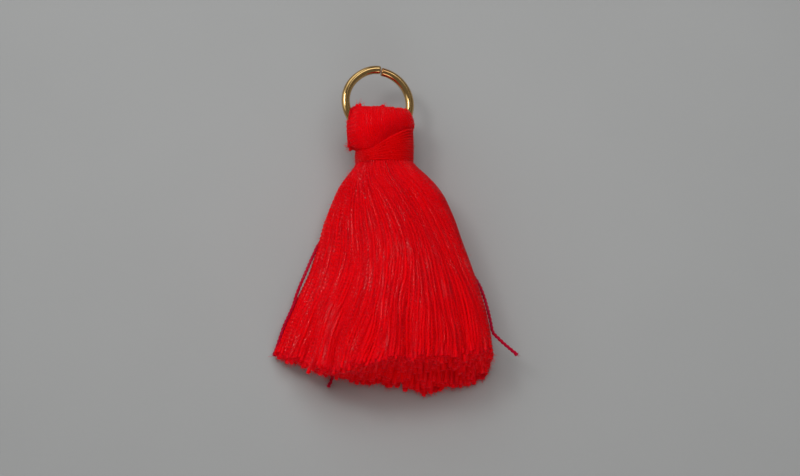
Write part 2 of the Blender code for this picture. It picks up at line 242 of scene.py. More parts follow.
# How unevenly the skirt's threads lie. Spacing and gathering are shares of the room between two
# threads or two locks, a wander is in radians round the hank, and the rest is in millimetres. A
# fade is the reach where something starts and the reach where it is full. Each ripple of the cut
# ends has its swing, how many times it goes round and which way it shifts from layer to layer.
SPACING_SCATTER = 0.08
INNER_SPACING_SCATTER = 0.04
NECK_STAGGER = 0.75
NECK_DEPTH_SCATTER = 0.2
HEM_INSET_SCATTER = 0.22
CUT_RIPPLES = ((0.13, 17.0, 1.0), (0.1, 31.0, -1.0))
CUT_SCATTER = 0.17
CUT_SCATTER_LIMITS = (-0.45, 0.4)
TIP_SCATTER = 0.08
TIP_SCATTER_LENGTH = 1.8
LOCKS_ROUND_SKIRT = 23
LOCKS_LOST_PER_LAYER = 2
LOCK_PHASE_PER_LAYER = 1.7
LOCK_GATHERING = 0.2
LOCK_DEPTH = 0.02
PARTING_SHIFT = 0.03
SHARED_WANDER = 0.03
SHARED_RIPPLES = (5.0, 9.0)
SHARED_WAVE_LENGTHS = (17.0, 11.0)
OWN_WANDER = 0.013
OWN_WAVE_LENGTHS = (13.0, 7.0, 4.4)
DEPTH_WANDER = 0.015
DEPTH_WAVE_LENGTHS = (9.0, 5.0)
FREEING_FADE = (8.0, 24.0)
OWN_WANDER_FADE = (7.5, 16.0)
SURFACING_FADE = (7.4, 13.5)
INSET_FADE = (6.5, 13.5)
DEEPEST_SHARE = 0.97

# Layers of doubled threads in the head, from the skin inwards.
HEAD_LAYERS = {
    "threads": (48, 42, 34, 29, 25, 21, 17, 13, 9),
    "sides": (6, 6, 4, 4, 4, 4, 4, 4, 4),
    "step": (0.13, 0.7, 1.3, 1.3, 1.3, 1.3, 1.3, 1.3, 1.3),
}
HEAD_LAYER_PITCH = 0.26
HEAD_TAIL_LENGTH = 1.2
HEAD_SWELL = 0.12
HEAD_SPACING_SCATTER = 0.06
HEAD_SPACING_STEPS = 721
HEAD_WANDER = 0.03
HEAD_WAVE_LENGTHS = (6.0, 3.5)
CREST_SCATTER = 0.04
WIRE_PASSES = 7
LEG_HEIGHT = 0.25

# Fibres that stand out of the threads: how many, their longest, and the place inside the group
# that they stand away from, as sideways place, reach and height.
FIBRE_RADIUS = 0.016
FIBRE_POINTS = 4
FIBRE_SIDES = 3
FIBRE_TAPER = 0.6
FIBRE_REFERENCE = (0.31, 0.2, 0.93)
FIBRE_CURL = (0.2, 0.9)
FIBRE_STAND = 0.5
FIBRE_LEAN = (0.3, 1.2)
FIBRE_SCATTER = 0.45
FIBRE_SHARES = (0.25, 1.0)
FIBRE_SHORTNESS = 1.5
FIBRES = {
    "skirt": {"count": 7000, "longest": 0.8, "middle": (1.0, 20.0, 3.0)},
    "head": {"count": 900, "longest": 0.6, "middle": (BINDING_CENTRE_X, 3.5, FOLD_AXIS_HEIGHT)},
    "binding": {
        "count": 500, "longest": 0.5, "middle": (BINDING_CENTRE_X, 5.5, BINDING_CENTRE_HEIGHT)
    },
}
FRAYED_PER_END = 9
FRAYED_LENGTH = 0.7
FRAYED_SHARES = (0.35, 1.0)
FRAYED_ROOTS = (0.05, 0.5)
FRAYED_SCATTER = 0.5

# Loose ends beside the skirt, from inside it: sideways place from the ring's centre line, reach
# and height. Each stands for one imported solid.
LOOSE_THREADS = {
    "loose_thread_left": (
        (-5.2, 13.5, 0.5), (-5.7, 14.4, 0.8), (-6.3, 15.2, 1.1), (-6.9, 16.6, 1.2),
        (-7.55, 18.25, 1.25), (-8.42, 20.5, 1.25), (-8.95, 22.27, 1.25),
        (-9.75, 24.15, 1.2), (-10.35, 25.96, 1.0), (-10.85, 27.4, 0.6),
    ),
    "loose_thread_right": (
        (9.5, 18.6, 3.2), (10.3, 19.8, 3.4), (10.92, 21.05, 3.45), (11.42, 22.7, 3.45),
        (11.75, 24.14, 3.45), (11.98, 25.4, 3.4), (12.2, 25.9, 3.4), (12.7, 26.4, 3.3),
        (13.35, 27.0, 3.2), (14.6, 28.05, 3.0),
    ),
}
CUT_STUB = ((-4.35, 28.2, 0.8), (-4.6, 29.3, 0.5), (-4.85, 30.1, 0.35), (-5.15, 30.7, 0.3))
LOOSE_SWELL = 1.15
LOOSE_STEP = 0.1
LOOSE_SIDES = 9

# Short cut ends of thread that stand out of the tassel: five of the binding's at the left of the
# neck, and three at the crest of the head.
TAIL_SWELL = 1.1
TAIL_STEP = 0.08
TAIL_SIDES = 6
TAIL_REFERENCE = (0.1, 0.2, 1.0)
BINDING_TAILS = (
    ((-2.2, 5.35, 4.3), (-2.6, 5.12, 4.35), (-2.9, 4.98, 4.1), (-3.12, 5.05, 3.85)),
    ((-2.1, 5.1, 3.9), (-2.5, 4.85, 3.95), (-2.85, 4.7, 3.75), (-3.15, 4.72, 3.5)),
    ((-2.1, 5.35, 3.6), (-2.5, 5.2, 3.6), (-2.8, 5.12, 3.5), (-3.0, 5.2, 3.3)),
    ((-2.1, 5.2, 4.2), (-2.5, 5.0, 4.2), (-2.8, 4.85, 4.1), (-3.1, 4.85, 3.9)),
    ((-2.1, 5.2, 3.3), (-2.5, 5.0, 3.35), (-2.8, 4.9, 3.3), (-3.0, 4.95, 3.2)),
)
CREST_TAILS = (
    ((-2.3, 1.2, 4.6), (-2.25, 0.8, 4.55), (-2.15, 0.48, 4.4)),
    ((-2.0, 1.2, 4.7), (-1.95, 0.7, 4.6), (-1.85, 0.45, 4.4)),
    ((0.5, 1.0, 4.6), (0.55, 0.7, 4.5), (0.6, 0.5, 4.3)),
)

# Camera: where it looks, and how far it leans from straight down towards the cut ends.
CAMERA_AIM = (0.38, -1.5, 3.47)
CAMERA_LEAN_DEG = 20.0
CAMERA_DISTANCE = 300.0
CAMERA_LENS = 128.07
CAMERA_SENSOR = 36.0
CAMERA_CLIP_START = 10.0

# Lights: a lamp at the upper left, a broad lamp overhead that the ring does not mirror, and a dim
# room with two windows beyond the ring, a low one in front of the cut ends and a small ceiling
# lamp. A window's light fades out between two cosines of the angle from its middle.
KEY_LIGHT_PLACE = (-90.0, 58.0, 152.0)
KEY_LIGHT_SIZE = 60.0
FILL_LIGHT_PLACE = (14.0, 32.0, 136.0)
FILL_LIGHT_SIZE = 130.0
ROOM_COLOUR = (0.16, 0.149, 0.138)
WINDOWS = {
    "direction": ((-0.8, 0.25, 0.55), (-0.25, 0.8, 0.55), (0.05, -0.98, 0.17), (0.41, 0.47, 0.78)),
    "fade": ((0.89, 0.97), (0.9, 0.975), (0.86, 0.98), (0.975, 0.992)),
    "colour": ((1.15, 1.16, 1.17), (1.2, 1.22, 1.24), (2.6, 2.6, 2.6), (2.0, 2.0, 2.1)),
}
FLOOR_HALF_WIDTH = 1500.0

# Groups of thread: how far from the seed their random draws start, which of the settings' colours
# their threads and tips take, and how much of the gleam.
THREAD_GROUPS = {
    "head": {"seed": 0, "colour": "colour", "tip": "tip_colour", "gleam": 0.5},
    "skirt": {"seed": 1, "colour": "colour", "tip": "tip_colour", "gleam": 1.0},
    "binding": {"seed": 2, "colour": "binding_shaded_colour", "tip": "tip_colour", "gleam": 0.2},
    "loose": {"seed": 3, "colour": "loose_colour", "tip": "loose_colour", "gleam": 0.3},
}

# Finishes: how far each pattern lightens a thread, and how fine the patterns are along a thread or
# wire, round it and from strand to strand. The ply pattern paints shade in the valleys between the
# plies, and the lock pattern paints broad streaks of shade. A roughness has its least value and
# what each pattern adds to it, and a relief its strength and its depth in millimetres.
SHADE = {"least": 0.56, "ply": 0.2, "fibre": 0.16, "slub": 0.12, "strand": 0.08, "painted_lock_shade": 0.7}
FIBRE_STREAKS = (1.6, 30.0, 40.0)
SLUBS = (0.35, 90.0)
POLISHED_PATCHES = (0.4, 150.0)
POLISHED_FROM = 0.53
POLISHED_SHARPNESS = 9.0
# Broad streaks of painted shade, set by the object's place: how fine they are across, along and up.
LOCK_SHADE_STREAKS = (260.0, 55.0, 260.0)
THREAD_ROUGHNESS = {"least": 0.26, "fibre": 0.16}
THREAD_RELIEF = (0.35, 0.02)
GLEAM_ROUGHNESS = 0.1
GLOW_REACH = (1.0, 0.06, 0.08)
GLOW_DEPTH = 0.4
SHEEN_ROUGHNESS = 0.4
DRAWING_LINES = (0.25, 60.0)
PLATING_CLOUDS = 900.0
PLATING_DULLNESS = 0.9
PLATING_WEAR = 0.6
RING_ROUGHNESS = {"least": 0.07, "cloud": 0.06, "lines": 0.04}
RING_RELIEF = (0.1, 0.01)
CARD_MOTTLE = 60.0
CARD_GRAIN = 2500.0
CARD_SHARES = {"mottle": 0.7, "grain": 0.3}
CARD_DARKEST = 0.93
CARD_ROUGHNESS = {"least": 0.8, "grain": 0.1}
CARD_RELIEF = (0.1, 0.05)
CARD_GLOSS = 0.2


# ---- Shapes


def smooth_ramp(value, start, end):
    """0 before start, 1 after end, and an even S curve between them."""
    share = np.clip((value - start) / (end - start), 0.0, 1.0)
    return share * share * (3.0 - 2.0 * share)


def mix(first, second, share):
    """From first, where share is 0, to second, where it is 1."""
    return first + (second - first) * share


def readings(rounding):
    """Offsets of five even readings, over this much to either side of a place."""
    return np.linspace(-rounding, rounding, 5)


def column(table, name, at, along="reach", rounding=0.0):
    """One column of a table, read off by straight lines between its rows.

    With rounding it is the mean of five readings, which rounds off the corners at the rows.
    """
    spread = readings(rounding) if rounding else (0.0,)
    return sum(np.interp(at + offset, table[along], table[name]) for offset in spread) / len(spread)


def section(reach, *names):
    """The skirt's cross-section at a reach: columns of its table, with their corners rounded."""
    return [column(SKIRT, name, reach, rounding=SECTION_ROUNDING) for name in names]


def binding_edge(angle):
    """Reach of the binding's upper edge at an angle round the neck: the mean of five readings."""
    spread = np.radians(readings(BINDING_EDGE_ROUNDING_DEG))
    around = np.degrees(angle[..., None] + spread) % 360.0
    return np.interp(around, BINDING_EDGE["angle_deg"], BINDING_EDGE["reach"]).mean(axis=-1)


def lean_neck(x, reach, z):
    """Tips the neck's cross-sections: their front lies further from the ring than their back."""
    start, full, hold, end = NECK_LEAN_FADE
    share = smooth_ramp(reach, start, full) * (1.0 - smooth_ramp(reach, hold, end))
    slope = math.tan(math.radians(NECK_LEAN_DEG))
    return x, reach + share * slope * (z - BINDING_CENTRE_HEIGHT), z


def run_along(lengths):
    """Distance from the start at each point of a path, from the lengths between its points."""
    return np.concatenate((np.zeros_like(lengths[..., :1]), np.cumsum(lengths, axis=-1)), axis=-1)


def to_place(x, reach, z):
    """Turns sideways place, reach and height into coordinates on the tassel's base."""
    return np.stack((RING_CENTRE[0] + x, RING_CENTRE[1] - reach, z), axis=-1)


def neck_place(angle, depth, inset):
    """A place in the bound neck: the binding's inner oval, shrunk evenly as depth goes to 1."""
    shrink = 1.0 - depth
    x = BINDING_CENTRE_X + (BINDING_HALF_WIDTH - inset) * shrink * np.cos(angle)
    z = BINDING_CENTRE_HEIGHT + (BINDING_HALF_HEIGHT - inset) * shrink * np.sin(angle)
    return x, z


def partings(across, reach):
    """Depth of the troughs between locks, each a rounded notch that deepens with reach."""
    depth = np.zeros_like(reach)
    for middle, start, half_width, deepest, _ in zip(*PARTINGS.values()):
        notch = np.exp(-(((across - middle) / half_width) ** 2))
        depth += deepest * notch * smooth_ramp(reach, start, start + PARTING_LENGTH)
    return depth


def skirt_outline(angle, reach):
    """The skirt's skin: flat below, thin at the left, heaped up and steep at the right."""
    left, right, base, crown, spread = section(reach, "left", "right", "base", "crown", "spread")
    across = (1.0 + np.cos(angle)) / 2
    rise = np.sin(angle)
    round_z = mix(base, crown, (1.0 + rise) / 2)
    edge = crown * mix(LEFT_EDGE_SHARE, RIGHT_EDGE_SHARE, across)
    profile = column(ENDS_PROFILE, "height", across, along="across", rounding=ENDS_ROUNDING)
    top = crown * profile - partings(across, reach)
    heaped = mix(edge, top, np.abs(rise) ** EDGE_FULLNESS)
    curl = np.clip(np.abs(rise) / UNDERSIDE_CURL, 0.0, 1.0) ** EDGE_FULLNESS
    laid = edge * (1.0 - curl)
    z = mix(round_z, np.where(rise >= 0.0, heaped, laid), spread)
    settled = np.maximum(z + UNDERSIDE_SETTLE * spread * rise, 0.0)
    return mix(left, right, across), np.where(rise < 0.0, settled, z)


def skirt_place(angle, depth, reach, inset):
    """A thread's middle in the skirt: the skin, drawn in by its inset and towards mid-stack.

    Mid-stack lies half way between the skin at this angle and the skin straight across from it,
    and the sides are drawn in by as many millimetres as the top is.
    """
    x, z = skirt_outline(angle, reach)
    _, z_across = skirt_outline(-angle, reach)
    left, right, crown = section(reach, "left", "right", "crown")
    drawn_in = np.clip((inset + depth * (crown / 2)) / ((right - left) / 2), 0.0, 1.0)
    middle_x = (left + right) / 2
    x = middle_x + (x - middle_x) * (1.0 - drawn_in)
    return x, mix(z, (z + z_across) / 2, depth) - inset * np.sin(angle)


def swirl(angle, reach):
    """Turn round the hank since the cut ends, in radians: the swirl table, read both ways.

    Each row is read at the threads' angles at their cut ends. Then each thread reads its own
    column at its reaches, by straight lines between the rows, as the mean of five readings.
    """
    around = np.degrees(angle) % 360.0
    rows = np.stack([np.interp(around, SWIRL_ANGLES_DEG, row) for row in SWIRL_DEG], axis=-1)
    reaches = np.array(SWIRL_REACHES)
    offsets = readings(SWIRL_ROUNDING)
    turned = np.zeros_like(reach)
    for offset in offsets:
        at = np.clip(reach + offset, reaches[0], reaches[-1])
        below = np.clip(np.searchsorted(reaches, at, side="right") - 1, 0, len(reaches) - 2)
        share = (at - reaches[below]) / (reaches[below + 1] - reaches[below])
        low = np.take_along_axis(rows, below, axis=1)
        high = np.take_along_axis(rows, below + 1, axis=1)
        turned += mix(low, high, share)
    return np.radians(turned / len(offsets))


def part_locks(across, reach, shift):
    """Moves threads away from the partings, so that they gather into locks.

    A parting pushes by its push times t times exp(0.5 - t squared / 2), where t is the distance
    from it in widths of the parting.
    """
    moved = np.zeros_like(across)
    for middle, start, half_width, _, push in zip(*PARTINGS.values()):
        distance = (across - middle - shift) / (PARTING_REACH_OUT * half_width)
        opening = smooth_ramp(reach, start - PARTING_LEAD, start + PARTING_LENGTH)
        moved += push * distance * np.exp(0.5 - distance**2 / 2) * opening
    fading = smooth_ramp(across, 0.0, EDGE_CALM) * smooth_ramp(1.0 - across, 0.0, EDGE_CALM)
    return across + moved * fading


def even_angles(count):
    """Angles at the cut ends for threads at even spacing round the skirt.

    The room between two angles is the widest that it gets at any of a few reaches, so that no gap
    opens where the swirl draws the threads apart.
    """
    angle = np.linspace(0.0, 2.0 * math.pi, SPACING_STEPS)
    reach = np.broadcast_to(SPACING_REACHES, (len(angle), len(SPACING_REACHES)))
    x, z = skirt_outline(angle[:, None] + swirl(angle, reach), reach)
    widest = np.hypot(np.diff(x, axis=0), np.diff(z, axis=0)).max(axis=1)
    run = run_along(widest)
    return np.interp((np.arange(count) + 0.5) / count * run[-1], run, angle)


def waves(reach, phases, lengths):
    """A smooth wander: the mean of sine waves of these lengths, each with its own phases."""
    swings = (
        np.sin(2.0 * math.pi * reach / length + phase[:, None])
        for phase, length in zip(phases, lengths)
    )
    return sum(swings) / len(lengths)


def surfacing(x, z, width):
    """0 where a thread lies in the skin and 1 where it is pressed in below it.

    Each thread has a rank from 0 to 1, evenly mixed round the hank. Where they stand closer
    together than their width, the threads whose rank is above the share that fits go under.
    """
    gap = np.hypot(*(np.roll(value, -1, axis=0) - np.roll(value, 1, axis=0) for value in (x, z)))
    fits = gap / 2 / width
    shifts = range(-DIVE_NEIGHBOURS, DIVE_NEIGHBOURS + 1)
    fits = sum(np.roll(fits, shift, axis=0) for shift in shifts) / len(shifts)
    rank = (np.arange(len(x)) * GOLDEN_SHARE % 1.0)[:, None]
    return smooth_ramp(rank - fits, -DIVE_EASE, DIVE_EASE)


def cut_ends(layer, rng):
    """One layer's threads at their cut ends: angle, depth in the neck, inset and reach.

    The layers share out the neck's area in their order. A thread ends between the two cut lines,
    by how high it lies in the stack, and a little out of line with its neighbours.
    """
    counts = SKIRT_LAYERS["threads"]
    count = counts[layer]
    angle = even_angles(count)
    scatter = SPACING_SCATTER + INNER_SPACING_SCATTER * (layer > 0)
    angle += rng.normal(0.0, scatter, count) * 2.0 * math.pi / count

    before, after = (sum(counts[:end]) / sum(counts) for end in (layer, layer + 1))
    outer, inner = 1.0 - math.sqrt(1.0 - before), 1.0 - math.sqrt(max(1.0 - after, 0.0))
    stagger = (np.arange(count) % 2) * NECK_STAGGER + rng.uniform(0.0, NECK_DEPTH_SCATTER, count)
    neck_depth = mix(outer, inner, stagger) if layer else np.zeros(count)

    scatter = rng.uniform(-HEM_INSET_SCATTER, HEM_INSET_SCATTER, count) * (layer > 1)
    inset = SKIRT_LAYERS["inset"][layer] + scatter
    hem = np.full(count, HEM_REACH)
    x, z = skirt_place(angle, np.zeros(count), hem, inset)
    left, right = (column(SKIRT, name, hem) for name in ("left", "right"))
    across = np.clip((x - left) / (right - left), 0.0, 1.0)
    _, top = skirt_outline(np.arccos(2.0 * across - 1.0), hem)
    lower, upper = (column(CUT_LINE, name, across, along="across") for name in ("lower", "upper"))
    uneven = sum(
        swing * np.sin(angle * ripples + way * layer) for swing, ripples, way in CUT_RIPPLES
    )
    uneven += np.clip(rng.normal(0.0, CUT_SCATTER, count), *CUT_SCATTER_LIMITS)
    return angle, neck_depth, inset, mix(lower, upper, np.clip(z / top, 0.0, 1.0)) + uneven


def skirt_threads(layer, radius, rng):
    """Paths of one layer of the skirt's threads, from inside the binding to their cut ends.

    A thread's angle is that of its cut end, plus the swirl, the gathering into locks, a wander
    that it shares with its neighbours and one of its own, and then the push of the partings. Its
    depth goes from its share of the neck's area to its layer's inset at the cut ends.
    """
    hem_angle, neck_depth, hem_inset, end = cut_ends(layer, rng)
    count = len(end)
    steps = int((end.max() - SKIRT_ROOT_REACH) / SKIRT_LAYERS["step"][layer]) + 1
    reach = mix(SKIRT_ROOT_REACH, end[:, None], np.linspace(0.0, 1.0, steps))
    free = smooth_ramp(reach, *FREEING_FADE)
    locks = LOCKS_ROUND_SKIRT - LOCKS_LOST_PER_LAYER * layer
    lock_phase = hem_angle * locks + layer * LOCK_PHASE_PER_LAYER
    gather = LOCK_GATHERING / locks * np.sin(lock_phase)[:, None] * free
    phases = (hem_angle * SHARED_RIPPLES[0] + layer, hem_angle * SHARED_RIPPLES[1])
    shared = SHARED_WANDER * waves(reach, phases, SHARED_WAVE_LENGTHS) * free
    phases = rng.uniform(0.0, 2.0 * math.pi, (len(OWN_WAVE_LENGTHS), count))
    own = OWN_WANDER * waves(reach, phases, OWN_WAVE_LENGTHS)
    own = own * smooth_ramp(reach, *OWN_WANDER_FADE)
    angle = hem_angle[:, None] + swirl(hem_angle, reach) + gather + shared + own

    side = np.sign(np.sin(angle))
    across = part_locks((1.0 + np.cos(angle)) / 2, reach, PARTING_SHIFT * (layer % 2))
    angle = np.arccos(np.clip(2.0 * across - 1.0, -1.0, 1.0)) * side
    depth = neck_depth[:, None] * (1.0 - smooth_ramp(reach, *SURFACING_FADE))

    swell = 1.0 + SKIRT_LAYERS["swell"][layer] * smooth_ramp(reach, *THREAD_LOOSENING)
    sunken = LOCK_DEPTH * (1.0 - np.cos(lock_phase)[:, None]) * free
    if layer == 0:
        flat = skirt_place(angle, depth, reach, radius)
        sunken += DIVE_DEPTH * surfacing(*flat, 2.0 * radius * swell)
    phases = rng.uniform(0.0, 2.0 * math.pi, (len(DEPTH_WAVE_LENGTHS), count))
    sunken += DEPTH_WANDER * (1.0 + waves(reach, phases, DEPTH_WAVE_LENGTHS)) * free
    inset = radius * swell + hem_inset[:, None] * smooth_ramp(reach, *INSET_FADE)
    inset += sunken * (1.0 - np.abs(np.cos(angle)) ** EDGE_EVENNESS)

    skirt_x, skirt_z = skirt_place(angle, np.clip(depth, 0.0, DEEPEST_SHARE), reach, inset)
    neck_x, neck_z = neck_place(angle, neck_depth[:, None], THREAD_DIAMETER + radius)
    full = smooth_ramp(reach, *NECK_END_FADE)
    x, reach, z = lean_neck(mix(neck_x, skirt_x, full), reach, mix(neck_z, skirt_z, full))
    near_tip = smooth_ramp(reach, end[:, None] - TIP_SCATTER_LENGTH, end[:, None])[..., None]
    paths = to_place(x, reach, z) + rng.normal(0.0, TIP_SCATTER, (count, 1, 3)) * near_tip
    lowest = radius * swell * (1.0 + CUT_FLARE) * (1.0 + PLY_DEPTH)
    paths[..., 2] = np.maximum(paths[..., 2], lowest)
    return paths, swell, np.sin(hem_angle)


def head_threads(layer, radius, rng):
    """Paths of one layer of the head's threads, from the front of the neck over the wire and back.

    Seen from the side a thread is a half circle round the fold's axis with a straight leg on
    either side. Across, the head is a superellipse, and the legs narrow to the neck's oval where
    the binding begins.
    """
    count = HEAD_LAYERS["threads"][layer]
    fold = FOLD_RADIUS - radius - HEAD_LAYER_PITCH * layer
    inset = radius + HEAD_LAYER_PITCH * layer
    power = 2.0 / HEAD_SQUARENESS
    half_turn = np.linspace(0.0, math.pi, HEAD_SPACING_STEPS)
    side, rise = np.cos(half_turn), np.sin(half_turn)
    outline_x = (FOLD_RADIUS + HEAD_EXTRA_WIDTH - inset) * np.sign(side) * np.abs(side) ** power
    outline_z = fold * np.abs(rise) ** power
    run = run_along(np.hypot(np.diff(outline_x), np.diff(outline_z)))
    margin = 0.5 / count
    share = np.linspace(margin, 1.0 - margin, count)
    share = share + rng.normal(0.0, HEAD_SPACING_SCATTER, count) / count
    angle = np.interp(np.clip(share, 0.0, 1.0) * run[-1], run, half_turn)[:, None]

    front_end, back_end = (binding_edge(turned) + HEAD_TAIL_LENGTH for turned in (angle, -angle))
    front_leg, back_leg = front_end - RING_RADIUS, back_end - RING_RADIUS
    total = front_leg + math.pi * fold + back_leg
    steps = int(total.max() / HEAD_LAYERS["step"][layer]) + 1
    travelled = total * np.linspace(0.0, 1.0, steps)
    turned = np.clip((travelled - front_leg) / fold, 0.0, math.pi)
    after = np.maximum(travelled - front_leg - math.pi * fold, 0.0)
    reach = np.maximum(front_end - travelled, RING_RADIUS) - fold * np.sin(turned) + after
    height = np.cos(turned)

    left, right = (column(HEAD, name, reach, rounding=HEAD_ROUNDING) for name in ("left", "right"))
    half_width, middle_x = (right - left) / 2 - inset, (left + right) / 2
    x = middle_x + half_width * np.sign(np.cos(angle)) * np.abs(np.cos(angle)) ** power
    middle_z = FOLD_AXIS_HEIGHT - column(HEAD, "drop", reach, rounding=DROP_ROUNDING)
    z = middle_z + fold * height * np.sin(angle) ** power
    slope = math.tan(math.radians(FOLD_ROLL_DEG)) * (1.0 - smooth_ramp(reach, *FOLD_ROLL_FADE))
    z = z - slope * (x - middle_x)

    wander = rng.uniform(0.0, 2.0 * math.pi, (2, count))
    x = x + HEAD_WANDER * waves(travelled, wander, HEAD_WAVE_LENGTHS)
    reach = reach + rng.normal(0.0, CREST_SCATTER, (count, 1)) * np.sin(turned)

    leg_angle = np.where(travelled < total / 2, angle, -angle)
    neck_x, neck_z = neck_place(leg_angle, inset / FOLD_RADIUS, THREAD_DIAMETER + radius)
    above = binding_edge(leg_angle) - reach + SHOULDER_START
    sharp = np.clip(above / SHOULDER_LENGTHS[0], 0.0, 1.0)
    sharp = np.sqrt(1.0 - (1.0 - sharp) ** 2)
    gentle = smooth_ramp(above, 0.0, SHOULDER_LENGTHS[1])
    full = mix(sharp, gentle, np.sin(angle) ** 2)
    paths = to_place(*lean_neck(mix(neck_x, x, full), reach, mix(neck_z, z, full)))
    return pass_the_wire(paths, height, WIRE_DIAMETER / 2 + radius * (1.0 + HEAD_SWELL))


def ring_rotation():
    """The ring's rise about X, then its roll about Y, as a matrix."""
    turned = Euler((math.radians(RING_RISE_DEG), math.radians(RING_ROLL_DEG), 0.0), "XYZ")
    return np.array(turned.to_matrix())


def pass_the_wire(paths, height, distance):
    """Leads threads past the ring's wire at this distance from its middle.

    Height goes from 1 on a thread's front leg to -1 on its back leg. The front legs are raised
    over the wire, the back legs are lowered under it, and the fold between them is drawn in
    through the ring. Each pass ends by averaging each place with its neighbours, a quarter each.
    """
    turned = ring_rotation()
    local = (paths - RING_CENTRE) @ turned
    for _ in range(WIRE_PASSES):
        from_axis = np.maximum(np.hypot(local[..., 0], local[..., 1]), 1e-6)
        outward = from_axis - RING_RADIUS
        rise = np.sqrt(np.maximum(distance**2 - outward**2, 0.0))
        raised = np.where(height > LEG_HEIGHT, np.maximum(local[..., 2], rise), local[..., 2])
        lowered = np.where(height < -LEG_HEIGHT, np.minimum(raised, -rise), raised)
        room = RING_RADIUS - np.sqrt(np.maximum(distance**2 - lowered**2, 0.0))
        folded = np.minimum(from_axis / room, 1.0) * room
        drawn = np.where(np.abs(height) <= LEG_HEIGHT, folded, from_axis)
        near = (lowered**2 < distance**2) & (outward > -distance)
        inwards = np.where(near, drawn / from_axis, 1.0)
        local[..., 2] = lowered
        local[..., :2] *= inwards[..., None]
        local[:, 1:-1] = (local[:, :-2] + 2.0 * local[:, 1:-1] + local[:, 2:]) / 4
    return local @ turned.T + RING_CENTRE


def smooth_path(points, step):
    """A Catmull-Rom curve through points, at about even steps.

    Between two points it is the cubic whose slope at each is half the chord of its neighbours.
    """
    points = np.array(points, float)
    padded = np.vstack((2 * points[0] - points[1], points, 2 * points[-1] - points[-2]))
    chords = np.linalg.norm(np.diff(points, axis=0), axis=1)
    run = run_along(chords)
    at = np.linspace(0.0, run[-1], max(int(run[-1] / step), 2) + 1)
    span = np.clip(np.searchsorted(run, at, side="right") - 1, 0, len(chords) - 1)
    t = ((at - run[span]) / chords[span])[:, None]
    before, start, end, after = (padded[span + shift] for shift in range(4))
    curve = 2 * start + (end - before) * t
    curve += (2 * before - 5 * start + 4 * end - after) * t**2
    curve += (3 * start - before - 3 * end + after) * t**3
    return curve / 2


def binding_path(turns, radius):
    """Path of the binding thread: a helix round the neck between the band's two edges.

    The reach goes from the slanted upper edge to the lower edge in even shares a turn. Where the
    turns lie closer than their own diameter, every other one rides up over those beside it.
    """
    around = 2.0 * math.pi * (BINDING_HALF_WIDTH + BINDING_HALF_HEIGHT) / 2
    winding = np.linspace(0.0, turns, int(turns * around / BINDING_STEP))
    angle = 2.0 * math.pi * winding + math.pi
    upper = binding_edge(angle) + radius
    lower = BINDING_LOWER_REACH - radius
    spacing = (lower - upper) / (turns - 1)
    share = np.clip((winding - 0.5) / (turns - 1), 0.0, 1.0)
    crowding = np.clip(1.0 - spacing / (2 * radius), 0.0, 1.0)
    lift = BINDING_LIFT * radius * crowding * (1.0 - np.cos(math.pi * winding)) / 2
    bulge = BINDING_PROUD + BINDING_CROWN * np.sin(math.pi * share) - radius + lift
    x = BINDING_CENTRE_X + (BINDING_HALF_WIDTH + bulge) * np.cos(angle)
    z = BINDING_CENTRE_HEIGHT + (BINDING_HALF_HEIGHT + bulge) * np.sin(angle)
    path = to_place(*lean_neck(x, mix(upper, lower, share), z))
    path[..., 2] = np.maximum(path[..., 2], radius * (1.0 + PLY_DEPTH))
    return path


def ring_path(steps):
    """Middle of the ring's wire: one turn less its gap, the first end standing a little outside."""
    gap = RING_GAP / RING_RADIUS
    swept = np.linspace(0.0, 2.0 * math.pi - gap, steps)
    opened = 1.0 - smooth_ramp(swept, 0.0, math.radians(RING_OFFSET_SWEEP_DEG))
    radius = RING_RADIUS + RING_END_OFFSET * opened
    angle = math.radians(RING_GAP_AT_DEG) + gap / 2 + swept
    flat = np.stack((radius * np.cos(angle), radius * np.sin(angle), np.zeros(steps)), axis=-1)
    return flat @ ring_rotation().T + RING_CENTRE


# ---- Meshes


def unit(vectors):
    """Vectors scaled to length 1."""
    return vectors / np.maximum(np.linalg.norm(vectors, axis=-1, keepdims=True), 1e-9)


def path_run(paths):
    """Distance from the start at each point of each path."""
    return run_along(np.linalg.norm(np.diff(paths, axis=1), axis=-1))


